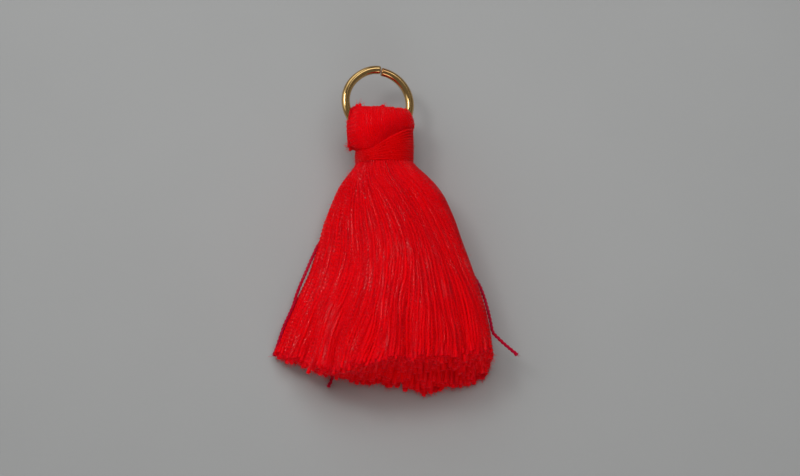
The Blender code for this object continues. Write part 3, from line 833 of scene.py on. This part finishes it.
def sweep(paths, radius, sides, reference, pitch=0.0, lobes=0, depth=0.0, swell=1.0, strand=0.0):
    """Closed tubes carried along paths, as arrays for one mesh.

    At each step of a path stands a ring of points round the path's direction. A point's distance
    from the path is radius times swell times (1 + depth times the cosine of lobes times its
    angle), and the ring turns once for every pitch of length, so the lobes run as plies. A plain
    tube has no lobes: its rings stand still and its UV turns instead.
    """
    count, steps = paths.shape[:2]
    tangent = unit(np.gradient(paths, axis=1))
    sideways = unit(np.cross(np.broadcast_to(reference, tangent.shape), tangent))
    upwards = np.cross(tangent, sideways)
    along = path_run(paths)
    turns = along / pitch if pitch else along
    strand = np.broadcast_to(strand, (count,)).astype(float)
    twist = turns * bool(pitch and lobes) + strand[:, None] * PLY_START_SPREAD
    uv_twist = turns * bool(pitch and not lobes)
    point = np.arange(sides) / sides
    phase = 2.0 * math.pi * (point + twist[..., None])
    profile = 1.0 + depth * np.cos(2.0 * math.pi * lobes * point)
    spoke = (np.broadcast_to(swell, (count, steps)) * radius)[..., None] * profile
    cosine, sine = np.cos(phase)[..., None], np.sin(phase)[..., None]
    around = cosine * sideways[:, :, None] + sine * upwards[:, :, None]
    vertices = paths[:, :, None] + spoke[..., None] * around

    index = np.arange(count * steps * sides).reshape(count, steps, sides)
    after = np.roll(index, -1, axis=2)
    quads = np.stack((index[:, :-1], after[:, :-1], after[:, 1:], index[:, 1:]), axis=-1)
    caps = np.concatenate((index[:, 0, ::-1], index[:, -1]))
    u = np.broadcast_to(turns[..., None], (count, steps, sides))
    left, right = (edge - uv_twist[..., None] for edge in (point, point + 1.0 / sides))
    low, high = np.s_[:, :-1], np.s_[:, 1:]
    corners = (u[low], left[low], u[low], right[low], u[high], right[high], u[high], left[high])
    cap_u = np.concatenate((u[:, 0], u[:, -1]))
    cap_uv = np.stack((cap_u, np.broadcast_to(point, caps.shape)), axis=-1)
    tip = 1.0 - smooth_ramp(along[:, -1:] - along, 0.0, TIP_LENGTH)
    return {
        "vertices": vertices.reshape(-1, 3),
        "faces": [quads.reshape(-1, 4), caps],
        "uv": [np.stack(corners, axis=-1), cap_uv],
        STRAND_ATTRIBUTE: np.repeat(strand, steps * sides),
        TIP_ATTRIBUTE: np.repeat(tip.ravel(), sides),
    }


def piece_from(name, parts, material):
    """One object at the origin from the arrays of several sweeps, in metres and smooth shaded."""
    starts = np.cumsum([0] + [len(part["vertices"]) for part in parts])
    vertices = np.concatenate([part["vertices"] for part in parts]) * MM
    faces = [face + start for part, start in zip(parts, starts) for face in part["faces"]]
    uv = np.concatenate([corner.reshape(-1, 2) for part in parts for corner in part["uv"]])
    corners = np.concatenate([face.ravel() for face in faces])
    sizes = np.concatenate([np.full(len(face), face.shape[1]) for face in faces])
    mesh = bpy.data.meshes.new(name)
    mesh.vertices.add(len(vertices))
    mesh.vertices.foreach_set("co", vertices.astype(np.float32).ravel())
    mesh.loops.add(len(corners))
    mesh.loops.foreach_set("vertex_index", corners.astype(np.int32))
    mesh.polygons.add(len(sizes))
    mesh.polygons.foreach_set("loop_start", (np.cumsum(sizes) - sizes).astype(np.int32))
    mesh.update(calc_edges=True)
    mesh.uv_layers.new(name=ALONG_UV).data.foreach_set("uv", uv.astype(np.float32).ravel())
    for attribute in (STRAND_ATTRIBUTE, TIP_ATTRIBUTE):
        values = np.concatenate([part[attribute] for part in parts]).astype(np.float32)
        mesh.attributes.new(attribute, "FLOAT", "POINT").data.foreach_set("value", values)
    mesh.shade_smooth()
    if mesh.validate():
        raise RuntimeError(f"{name}: its mesh had faces that could not be kept")
    mesh.materials.append(material)
    obj = bpy.data.objects.new(name, mesh)
    bpy.context.scene.collection.objects.link(obj)
    return obj


def add_piece(name, parts, material, slot, *nodes):
    """A piece that rides with the tassel, with its material and in place of its solids; its slot is
    not used.
    """
    piece = piece_from(name, parts, material)
    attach(piece, ROOT_BODY)
    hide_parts(*nodes)


def twisted(paths, threads, sides, reference, plies=PLIES, swell=1.0, strand=0.0):
    """Threads along paths: swept tubes with their plies, or with none where plies is 0."""
    pitch = threads.ply_pitch / MM
    return sweep(paths, threads.radius, sides, reference, pitch, plies, PLY_DEPTH, swell, strand)


def cut_end_swell(paths):
    """Thread thickness along a path: 1, growing over its last stretch, closed at the tip."""
    run = path_run(paths)
    from_end = run[:, -1:] - run
    flare = CUT_FLARE * (1.0 - smooth_ramp(from_end, 0.0, CUT_FLARE_LENGTH))
    return 1.0 + flare - CUT_CLOSING * (from_end < CUT_CLOSING_LENGTH)


def fibres(roots, directions, lengths, rng):
    """Fine curled fibres: each leaves its root along its direction and bends off to one side.

    A fibre is its root plus its length times (direction times t plus bend times curl times t
    squared), with t from 0 to 1.
    """
    t = np.linspace(0.0, 1.0, FIBRE_POINTS)[None, :, None]
    bend = unit(np.cross(directions, rng.normal(size=directions.shape)))
    curl = rng.uniform(*FIBRE_CURL, (len(roots), 1, 1))
    run = directions[:, None] * t + bend[:, None] * curl * t**2
    paths = roots[:, None] + lengths[:, None, None] * run
    paths[..., 2] = np.maximum(paths[..., 2], 2 * FIBRE_RADIUS)
    taper = 1.0 - FIBRE_TAPER * t[..., 0]
    strand = rng.uniform(size=len(roots))
    part = sweep(
        paths, FIBRE_RADIUS, FIBRE_SIDES, FIBRE_REFERENCE, swell=taper, strand=strand
    )
    part[TIP_ATTRIBUTE] = np.ones_like(part[TIP_ATTRIBUTE])
    return part


def flyaways(paths, group, rng):
    """Fibres that stand out of threads at random places along them.

    A fibre's direction mixes the thread's own, the way out from the group's middle and chance.
    """
    wanted = FIBRES[group]
    thread = rng.integers(0, len(paths), wanted["count"])
    step = rng.integers(2, paths.shape[1] - 2, wanted["count"])
    roots = paths[thread, step]
    along = unit(paths[thread, step + 1] - roots) * rng.uniform(*FIBRE_LEAN, (len(roots), 1))
    outwards = unit(roots - to_place(*wanted["middle"])) * FIBRE_STAND
    directions = unit(along + outwards + rng.normal(0.0, FIBRE_SCATTER, roots.shape))
    lengths = wanted["longest"] * rng.uniform(*FIBRE_SHARES, len(roots)) ** FIBRE_SHORTNESS
    return fibres(roots, directions, lengths, rng)


def frayed_ends(paths, rng):
    """Short fibres that splay out of each cut end."""
    tips = np.repeat(paths[:, -1], FRAYED_PER_END, axis=0)
    along = np.repeat(unit(paths[:, -1] - paths[:, -2]), FRAYED_PER_END, axis=0)
    roots = tips - along * rng.uniform(*FRAYED_ROOTS, (len(tips), 1))
    directions = unit(along + rng.normal(0.0, FRAYED_SCATTER, roots.shape))
    lengths = FRAYED_LENGTH * rng.uniform(*FRAYED_SHARES, len(tips))
    return fibres(roots, directions, lengths, rng)


def route_path(route, step):
    """A single path along a route of sideways places, reaches and heights."""
    return to_place(*smooth_path(route, step).T)[None]


def tail_ends(routes, threads, rng):
    """Short cut ends of thread along routes, and the fibres that splay out of them."""
    tails, frayed = [], []
    for route in routes:
        path = route_path(route, TAIL_STEP)
        swell = TAIL_SWELL * cut_end_swell(path)
        tails.append(twisted(path, threads, TAIL_SIDES, TAIL_REFERENCE, swell=swell))
        frayed.extend((frayed_ends(path, rng), frayed_ends(path, rng)))
    return tails, frayed


# ---- Materials


class Signal:
    """One output socket. Arithmetic on signals and numbers adds Math nodes and gives signals."""

    def __init__(self, nodes, socket):
        self.nodes = nodes
        self.socket = socket

    def __add__(self, other):
        return self.nodes.maths("ADD", self, other)

    def __sub__(self, other):
        return self.nodes.maths("SUBTRACT", self, other)

    def __rsub__(self, other):
        return self.nodes.maths("SUBTRACT", other, self)

    def __mul__(self, other):
        return self.nodes.maths("MULTIPLY", self, other)

    __radd__ = __add__
    __rmul__ = __mul__


class Nodes:
    """The node tree of one material or world."""

    def __init__(self, tree):
        self.tree = tree
        tree.nodes.clear()

    def add(self, kind, settings=None, inputs=None, output=0):
        """A node of a kind: its settings, then its sockets' values or links. Gives one output."""
        node = self.tree.nodes.new(kind)
        for setting, value in (settings or {}).items():
            setattr(node, setting, value)
        for socket, value in (inputs or {}).items():
            if isinstance(value, Signal):
                self.tree.links.new(value.socket, node.inputs[socket])
            else:
                node.inputs[socket].default_value = value
        return Signal(self, node.outputs[output]) if node.outputs else node

    def maths(self, operation, *values):
        return self.add("ShaderNodeMath", {"operation": operation}, dict(enumerate(values)))

    def mix_colour(self, share, first, second):
        settings = {"data_type": "RGBA", "blend_type": "MIX"}
        return self.add("ShaderNodeMix", settings, {0: share, 6: first, 7: second}, output=2)

    def limit(self, value):
        """A value kept between 0 and 1."""
        return self.add("ShaderNodeClamp", inputs={"Value": value})

    def combine(self, x, y, z=0.0):
        return self.add("ShaderNodeCombineXYZ", inputs={0: x, 1: y, 2: z})

    def attribute(self, name):
        return self.add("ShaderNodeAttribute", {"attribute_name": name}, output="Fac")

    def object_place(self):
        return self.add("ShaderNodeTexCoord", output="Object")

    def noise(self, vector, scale=1.0, detail=2.0):
        inputs = {"Vector": vector, "Scale": scale, "Detail": detail}
        return self.add("ShaderNodeTexNoise", inputs=inputs)

    def bump(self, height, strength, distance):
        """Relief from a height between 0 and 1, times a distance in millimetres."""
        inputs = {"Strength": strength, "Distance": distance * MM, "Height": height}
        return self.add("ShaderNodeBump", inputs=inputs)

    def uv(self):
        """Length along the thread in turns of its twist, and share of the way round it."""
        place = self.add("ShaderNodeUVMap", {"uv_map": ALONG_UV})
        outputs = self.add("ShaderNodeSeparateXYZ", inputs={0: place}).socket.node.outputs
        return Signal(self, outputs[0]), Signal(self, outputs[1])

    def surface(self, inputs):
        """The surface's one shader, with its values and links, and the output it goes to."""
        shader = self.add("ShaderNodeBsdfPrincipled", inputs=inputs)
        self.add("ShaderNodeOutputMaterial", inputs={"Surface": shader})


def new_material(name):
    """An empty material, and its nodes."""
    material = bpy.data.materials.new(name)
    material.use_nodes = True
    return material, Nodes(material.node_tree)


def opaque(colour, share=1.0):
    """A colour as the four numbers that a socket takes, darkened to a share of itself."""
    return (*(part * share for part in colour), 1.0)


def thread_material(name, threads, group):
    """Twisted thread: painted shade between its plies and in broad streaks, streaked along its
    fibres, uneven by the strand.
    """
    material, nodes = new_material(f"{name}_thread")
    colour, tip_colour = (getattr(threads, group[part]) for part in ("colour", "tip"))
    u, v = nodes.uv()
    strand = nodes.attribute(STRAND_ATTRIBUTE)
    tip = nodes.attribute(TIP_ATTRIBUTE)
    ply = nodes.maths("COSINE", v * (2.0 * math.pi * PLIES)) * 0.5 + 0.5
    along, round_it, by_strand = FIBRE_STREAKS
    fibre = nodes.noise(
        nodes.combine(u * along, (u + v) * round_it, strand * by_strand), detail=3.0
    )
    slub = nodes.noise(nodes.combine(u * SLUBS[0], strand * SLUBS[1]))
    # Painted shade: broad streaks along the skirt, lighter and darker at random, stand in for the
    # shade between the locks of thread.
    streaks = {0: nodes.object_place(), 1: LOCK_SHADE_STREAKS}
    painted_lock_shade = nodes.noise(nodes.add("ShaderNodeVectorMath", {"operation": "MULTIPLY"}, streaks))
    # Painted shade: the ply term darkens the valleys between the plies, down to the darkened valley
    # colour.
    shade = SHADE["least"] + ply * SHADE["ply"] + fibre * SHADE["fibre"] + slub * SHADE["slub"]
    shade = shade + strand * SHADE["strand"] + (painted_lock_shade - 0.5) * SHADE["painted_lock_shade"]
    painted_valley_colour = opaque(colour, threads.ply_valley_painted_shade)
    body = nodes.mix_colour(nodes.limit(shade), painted_valley_colour, opaque(colour))
    body = nodes.mix_colour(tip * threads.tip_fading, body, opaque(tip_colour))
    patches = nodes.combine(u * POLISHED_PATCHES[0], strand * POLISHED_PATCHES[1])
    polish = nodes.limit((nodes.noise(patches, detail=1.0) - POLISHED_FROM) * POLISHED_SHARPNESS)
    crests = nodes.limit(ply * 2.0 - 0.5) * (1.0 - tip)
    nodes.surface(
        {
            "Base Color": body,
            "Roughness": fibre * THREAD_ROUGHNESS["fibre"] + THREAD_ROUGHNESS["least"],
            "Normal": nodes.bump(ply * 0.5 + fibre * 0.5, *THREAD_RELIEF),
            "Specular IOR Level": threads.gloss,
            "Specular Tint": opaque(threads.gloss_tint),
            "Coat Weight": polish * crests * (threads.gleam * group["gleam"]),
            "Coat Roughness": GLEAM_ROUGHNESS,
            "Subsurface Weight": threads.glow,
            "Subsurface Radius": GLOW_REACH,
            "Subsurface Scale": GLOW_DEPTH * MM,
            "Sheen Weight": threads.sheen,
            "Sheen Roughness": SHEEN_ROUGHNESS,
            "Sheen Tint": opaque(threads.sheen_tint),
        }
    )
    return material


def thread_group(context, name):
    """A group's thread settings, its own random draws and its material."""
    threads, group = context.scene.tassel_threads, THREAD_GROUPS[name]
    rng = np.random.default_rng(threads.seed + group["seed"])
    return threads, rng, thread_material(name, threads, group)


def ring_material(ring):
    """Bright plated wire: fine drawing lines along it, a little duller in places."""
    material, nodes = new_material("ring_metal")
    u, v = nodes.uv()
    lines = nodes.noise(nodes.combine(u * DRAWING_LINES[0], v * DRAWING_LINES[1]), detail=3.0)
    cloud = nodes.noise(nodes.object_place(), PLATING_CLOUDS, 3.0)
    dulled = nodes.limit(cloud * PLATING_DULLNESS)
    colour = nodes.mix_colour(dulled, opaque(ring.colour), opaque(ring.dull_colour))
    bare = nodes.attribute(TIP_ATTRIBUTE) * PLATING_WEAR
    rough = RING_ROUGHNESS
    nodes.surface(
        {
            "Base Color": nodes.mix_colour(bare, colour, opaque(ring.core_colour)),
            "Metallic": 1.0,
            "Roughness": rough["least"] + cloud * rough["cloud"] + lines * rough["lines"],
            "Normal": nodes.bump(lines, *RING_RELIEF),
        }
    )
    return material


def floor_material(stage):
    """Plain pale card with a faint mottle."""
    material, nodes = new_material("pale_card")
    place = nodes.object_place()
    mottle = nodes.noise(place, CARD_MOTTLE, 4.0)
    grain = nodes.noise(place, CARD_GRAIN, 3.0)
    darker = opaque(stage.floor_colour, CARD_DARKEST)
    share = mottle * CARD_SHARES["mottle"] + grain * CARD_SHARES["grain"]
    nodes.surface(
        {
            "Base Color": nodes.mix_colour(share, darker, opaque(stage.floor_colour)),
            "Roughness": CARD_ROUGHNESS["least"] + grain * CARD_ROUGHNESS["grain"],
            "Normal": nodes.bump(grain, *CARD_RELIEF),
            "Specular IOR Level": CARD_GLOSS,
        }
    )
    return material


# ---- Settings


def length_setting(name, description, default, low=0.3, high=10.0):
    """A length, given in millimetres and kept in metres."""
    return FloatProperty(
        name=name,
        description=description,
        default=default * MM,
        min=low * MM,
        max=high * MM,
        precision=5,
        subtype="DISTANCE",
        unit="LENGTH",
    )


def amount_setting(name, description, default, **limits):
    """An amount that is never below 0; limits may give its most, its subtype and its unit."""
    return FloatProperty(name=name, description=description, default=default, min=0.0, **limits)


share_setting = partial(amount_setting, max=1.0, subtype="FACTOR")


def colour_setting(name, description, default):
    """A colour, as red, green and blue from 0 to 1."""
    limits = {"min": 0.0, "max": 1.0, "size": 3, "subtype": "COLOR"}
    return FloatVectorProperty(name=name, description=description, default=default, **limits)


def whole_setting(name, description, default, low, high):
    """A whole number."""
    return IntProperty(name=name, description=description, default=default, min=low, max=high)


class TasselThreadSettings(bpy.types.PropertyGroup):
    """Size and finish of the tassel's thread."""

    diameter: length_setting(
        "Thread diameter", "Thickness of one three-ply thread", THREAD_DIAMETER, 0.1, 1.0
    )
    ply_pitch: length_setting(
        "Twist pitch", "Length of thread in which its plies turn once", PLY_PITCH
    )
    colour: colour_setting("Thread colour", "Colour of the hank's thread", (1.0, 0.0015, 0.005))
    # Painted shade: a darker copy of the thread colour, which makes the wound neck darker than the
    # head.
    binding_shaded_colour: colour_setting(
        "Binding colour", "Colour of the thread wound round the neck", (0.87, 0.0008, 0.002)
    )
    loose_colour: colour_setting(
        "Loose thread colour", "Colour of the single threads beside the skirt", (0.42, 0.004, 0.03)
    )
    tip_colour: colour_setting("Tip colour", "Colour of the frayed cut ends", (0.96, 0.004, 0.012))
    tip_fading: share_setting("Tip fading", "How far the cut ends take the tip colour", 0.5)
    # Painted shade: the thread's colour between its plies, darkened to this share of itself.
    ply_valley_painted_shade: share_setting(
        "Valley shade", "Colour between the plies, as a share of the thread's colour", 0.62
    )
    glow: share_setting(
        "Glow", "Share of the light that spreads inside the fibres before it leaves them", 0.68
    )
    gloss: share_setting("Gloss", "Strength of the plain reflection of the fibres", 0.14)
    gleam: share_setting(
        "Gleam", "Strength of the small bright beads where polished plies catch the lamp", 1.0
    )
    gloss_tint: colour_setting("Gloss tint", "Colour of the plain reflection", (1.0, 0.06, 0.08))
    sheen: share_setting("Sheen", "Strength of the soft glow of fine fibres seen edge on", 0.3)
    sheen_tint: colour_setting(
        "Sheen tint", "Colour of the glow of fine fibres", (1.0, 0.02, 0.04)
    )
    seed: whole_setting("Seed", "Start of the random draws", 11, 0, 10000)

    @property
    def radius(self):
        """Half a thread's thickness, in millimetres."""
        return self.diameter / MM / 2


class TasselBindingSettings(bpy.types.PropertyGroup):
    """The wound binding."""

    turns: whole_setting("Turns", "Turns of thread round the neck", 13, 3, 30)


class TasselRingSettings(bpy.types.PropertyGroup):
    """The jump ring."""

    wire_diameter: length_setting(
        "Wire diameter", "Thickness of the ring's wire", WIRE_DIAMETER, 0.3, 2.0
    )
    colour: colour_setting("Metal colour", "Colour of the bright plating", (0.78, 0.53, 0.22))
    dull_colour: colour_setting(
        "Dull metal colour", "Colour of the plating where it has dulled", (0.46, 0.27, 0.09)
    )
    core_colour: colour_setting(
        "Core colour", "Colour of the bare metal at the wire's cut ends", (0.45, 0.16, 0.06)
    )


class TasselStageSettings(bpy.types.PropertyGroup):
    """The floor and the lights."""

    floor_colour: colour_setting(
        "Floor colour", "Colour of the card that the tassel lies on", (0.37, 0.377, 0.377)
    )
    key_power: amount_setting(
        "Key light", "Power of the main light, in watts", 0.069, unit="POWER"
    )
    fill_power: amount_setting(
        "Fill light", "Power of the broad light overhead, in watts", 0.0835, unit="POWER"
    )
    sky_strength: amount_setting("Sky strength", "Strength of the soft light all round", 1.0)


# ---- Operators


class TASSEL_OT_head(bpy.types.Operator):
    """Threads of the head, doubled over the ring's wire"""

    bl_idname = "tassel.head"
    bl_label = "Head threads"

    def execute(self, context):
        threads, rng, material = thread_group(context, "head")
        outer, inner = [], []
        for layer, sides in enumerate(HEAD_LAYERS["sides"]):
            paths = head_threads(layer, threads.radius, rng)
            strand = rng.uniform(size=len(paths))
            plies = 0 if layer else PLIES
            part = twisted(paths, threads, sides, SIDEWAYS, plies, 1.0 + HEAD_SWELL, strand)
            (outer if sides > 4 else inner).append(part)
            if layer == 0:
                fuzz = flyaways(paths, "head", rng)
                tails, frayed = tail_ends(CREST_TAILS, threads, rng)
        pieces = {"threads": outer + tails, "core_threads": inner, "fuzz": [fuzz, *frayed]}
        for name, parts in pieces.items():
            add_piece(f"head_{name}", parts, material, "thread", "thread_hank")
        return {"FINISHED"}


class TASSEL_OT_skirt(bpy.types.Operator):
    """Threads of the skirt, from the binding to their cut ends"""

    bl_idname = "tassel.skirt"
    bl_label = "Skirt threads"

    def execute(self, context):
        threads, rng, material = thread_group(context, "skirt")
        parts = {"front": [], "flank": [], "back": [], "second": [], "core": []}
        frayed = []
        for layer, sides in enumerate(SKIRT_LAYERS["sides"]):
            paths, swell, rise = skirt_threads(layer, threads.radius, rng)
            strand = rng.uniform(size=len(paths))
            swell = swell * cut_end_swell(paths)
            groups = {"second" if layer == 1 else "core": rise <= 1.0}
            if layer == 0:
                groups = {
                    "front": rise >= 0.0,
                    "flank": (rise < 0.0) & (rise > -FLANK_DEPTH),
                    "back": rise <= -FLANK_DEPTH,
                }
                fuzz = flyaways(paths[rise >= 0.0], "skirt", rng)
            for name, chosen in groups.items():
                kept = np.arange(paths.shape[1])
                if name == "back":
                    kept = np.unique(np.append(kept[::UNDERSIDE_EVERY], kept[-UNDERSIDE_LAST:]))
                plies = PLIES if name in ("front", "flank") else 0
                path, thickness = paths[chosen][:, kept], swell[chosen][:, kept]
                parts[name].append(
                    twisted(path, threads, sides, SIDEWAYS, plies, thickness, strand[chosen])
                )
            frayed.append(frayed_ends(paths, rng))
        for name, swept in parts.items():
            add_piece(f"skirt_{name}_threads", swept, material, "thread", "thread_hank")
        add_piece("skirt_fuzz", [fuzz], material, "thread", "thread_hank")
        add_piece("cut_end_fuzz", frayed, material, "thread", "thread_hank")
        return {"FINISHED"}


class TASSEL_OT_binding(bpy.types.Operator):
    """Thread wound round the neck"""

    bl_idname = "tassel.binding"
    bl_label = "Neck binding"

    def execute(self, context):
        threads, rng, material = thread_group(context, "binding")
        path = binding_path(context.scene.tassel_binding.turns, threads.radius)[None]
        turns = twisted(path, threads, BINDING_SIDES, LENGTHWAYS)
        tails, frayed = tail_ends(BINDING_TAILS, threads, rng)
        fuzz = [flyaways(path, "binding", rng), *frayed]
        add_piece("binding_turns", [turns, *tails], material, "binding_thread", "neck_binding")
        add_piece("binding_fuzz", fuzz, material, "binding_thread", "neck_binding")
        return {"FINISHED"}


class TASSEL_OT_ring(bpy.types.Operator):
    """Jump ring that the hank hangs on"""

    bl_idname = "tassel.ring"
    bl_label = "Jump ring"

    def execute(self, context):
        ring = context.scene.tassel_ring
        swell = np.ones(RING_STEPS)
        swell[[0, -1]] = RING_END_SHARE
        normal = ring_rotation()[:, 2]
        path = ring_path(RING_STEPS)[None]
        part = sweep(path, ring.wire_diameter / MM / 2, RING_SIDES, normal, swell=swell)
        add_piece("ring_wire", [part], ring_material(ring), "ring_metal", "jump_ring")
        return {"FINISHED"}


class TASSEL_OT_loose_ends(bpy.types.Operator):
    """Threads that stand clear of the skirt"""

    bl_idname = "tassel.loose_ends"
    bl_label = "Loose ends"

    def execute(self, context):
        threads, rng, material = thread_group(context, "loose")
        lowest = threads.radius * LOOSE_SWELL * (1.0 + CUT_FLARE) * (1.0 + PLY_DEPTH)
        for name, route in dict(LOOSE_THREADS, cut_stub=CUT_STUB).items():
            path = route_path(route, LOOSE_STEP)
            path[..., 2] = np.maximum(path[..., 2], lowest)
            swell = LOOSE_SWELL * cut_end_swell(path)
            thread = twisted(path, threads, LOOSE_SIDES, SIDEWAYS, swell=swell)
            node = name if name in LOOSE_THREADS else "thread_hank"
            parts = [thread, frayed_ends(path, rng)]
            add_piece(f"{name}_end", parts, material, "thread", node)
        return {"FINISHED"}


class TASSEL_OT_stage(bpy.types.Operator):
    """Floor, lights and camera"""

    bl_idname = "tassel.stage"
    bl_label = "Stage"

    def execute(self, context):
        stage = context.scene.tassel_stage
        corners = np.array(((-1, -1, 0), (1, -1, 0), (1, 1, 0), (-1, 1, 0)), float)
        part = {
            "vertices": corners * FLOOR_HALF_WIDTH,
            "faces": [np.array([[0, 1, 2, 3]])],
            "uv": [np.zeros((1, 4, 2))],
            STRAND_ATTRIBUTE: np.zeros(4),
            TIP_ATTRIBUTE: np.zeros(4),
        }
        piece_from("pale_floor", [part], floor_material(stage))
        add_light("key_light", KEY_LIGHT_PLACE, KEY_LIGHT_SIZE, stage.key_power)
        fill = add_light("fill_light", FILL_LIGHT_PLACE, FILL_LIGHT_SIZE, stage.fill_power)
        fill.visible_glossy = False
        add_sky(stage.sky_strength)
        add_camera(context.scene)
        return {"FINISHED"}


def add_light(name, place, size, power):
    """A round soft light that points at the tassel."""
    data = bpy.data.lights.new(name, "AREA")
    data.shape = "DISK"
    data.size = size * MM
    data.energy = power
    light = bpy.data.objects.new(name, data)
    light.location = Vector(place) * MM
    light.rotation_euler = (-light.location).to_track_quat("-Z", "Y").to_euler()
    bpy.context.scene.collection.objects.link(light)
    return light


def add_sky(strength):
    """Soft light of a dim room with windows.

    Each window's share goes from 0 to 1 by an S curve in the cosine of the angle from its middle.
    """
    world = bpy.data.worlds.new("studio")
    world.use_nodes = True
    nodes = Nodes(world.node_tree)
    direction = nodes.add("ShaderNodeTexCoord", output="Generated")
    colour = opaque(ROOM_COLOUR)
    for middle, (start, full), window in zip(*WINDOWS.values()):
        inputs = {0: direction, 1: tuple(unit(np.array(middle)))}
        cosine = nodes.add("ShaderNodeVectorMath", {"operation": "DOT_PRODUCT"}, inputs, "Value")
        inputs = {"Value": cosine, "From Min": start, "From Max": full}
        share = nodes.add("ShaderNodeMapRange", {"interpolation_type": "SMOOTHSTEP"}, inputs)
        colour = nodes.mix_colour(share, colour, opaque(window))
    background = nodes.add("ShaderNodeBackground", inputs={"Color": colour, "Strength": strength})
    nodes.add("ShaderNodeOutputWorld", inputs={"Surface": background})
    bpy.context.scene.world = world


def add_camera(scene):
    """The camera, leaning from straight down towards the cut ends."""
    lean = math.radians(CAMERA_LEAN_DEG)
    away = Vector((0.0, -math.sin(lean), math.cos(lean)))
    data = bpy.data.cameras.new("camera")
    data.sensor_width = CAMERA_SENSOR
    data.lens = CAMERA_LENS
    data.clip_start = CAMERA_CLIP_START * MM
    camera = bpy.data.objects.new("camera", data)
    camera.location = (Vector(CAMERA_AIM) + away * CAMERA_DISTANCE) * MM
    camera.rotation_euler = away.to_track_quat("Z", "Y").to_euler()
    scene.collection.objects.link(camera)
    scene.camera = camera
    scene.view_settings.view_transform = "Standard"


class TASSEL_PT_panel(bpy.types.Panel):
    """Sizes, colours and pieces of the tassel"""

    bl_idname = "TASSEL_PT_panel"
    bl_label = "Thread tassel"
    bl_space_type = "VIEW_3D"
    bl_region_type = "UI"
    bl_category = "Tassel"

    def draw(self, context):
        for group, settings in SETTINGS.items():
            box = self.layout.box()
            for name in settings.__annotations__:
                box.prop(getattr(context.scene, group), name)
        for operator in OPERATORS:
            self.layout.operator(operator.bl_idname)


SETTINGS = {
    "tassel_threads": TasselThreadSettings,
    "tassel_binding": TasselBindingSettings,
    "tassel_ring": TasselRingSettings,
    "tassel_stage": TasselStageSettings,
}
OPERATORS = (
    TASSEL_OT_stage,
    TASSEL_OT_ring,
    TASSEL_OT_head,
    TASSEL_OT_binding,
    TASSEL_OT_skirt,
    TASSEL_OT_loose_ends,
)
CLASSES = (*SETTINGS.values(), *OPERATORS, TASSEL_PT_panel)


def register():
    for kind in CLASSES:
        bpy.utils.register_class(kind)
    for name, settings in SETTINGS.items():
        setattr(bpy.types.Scene, name, PointerProperty(type=settings))


def unregister():
    for name in SETTINGS:
        delattr(bpy.types.Scene, name)
    for kind in reversed(CLASSES):
        bpy.utils.unregister_class(kind)


def main():
    register()
    bpy.ops.tassel.stage()
    bpy.ops.tassel.ring()
    bpy.ops.tassel.head()
    bpy.ops.tassel.binding()
    bpy.ops.tassel.skirt()
    bpy.ops.tassel.loose_ends()


if __name__ == "__main__":
    main()
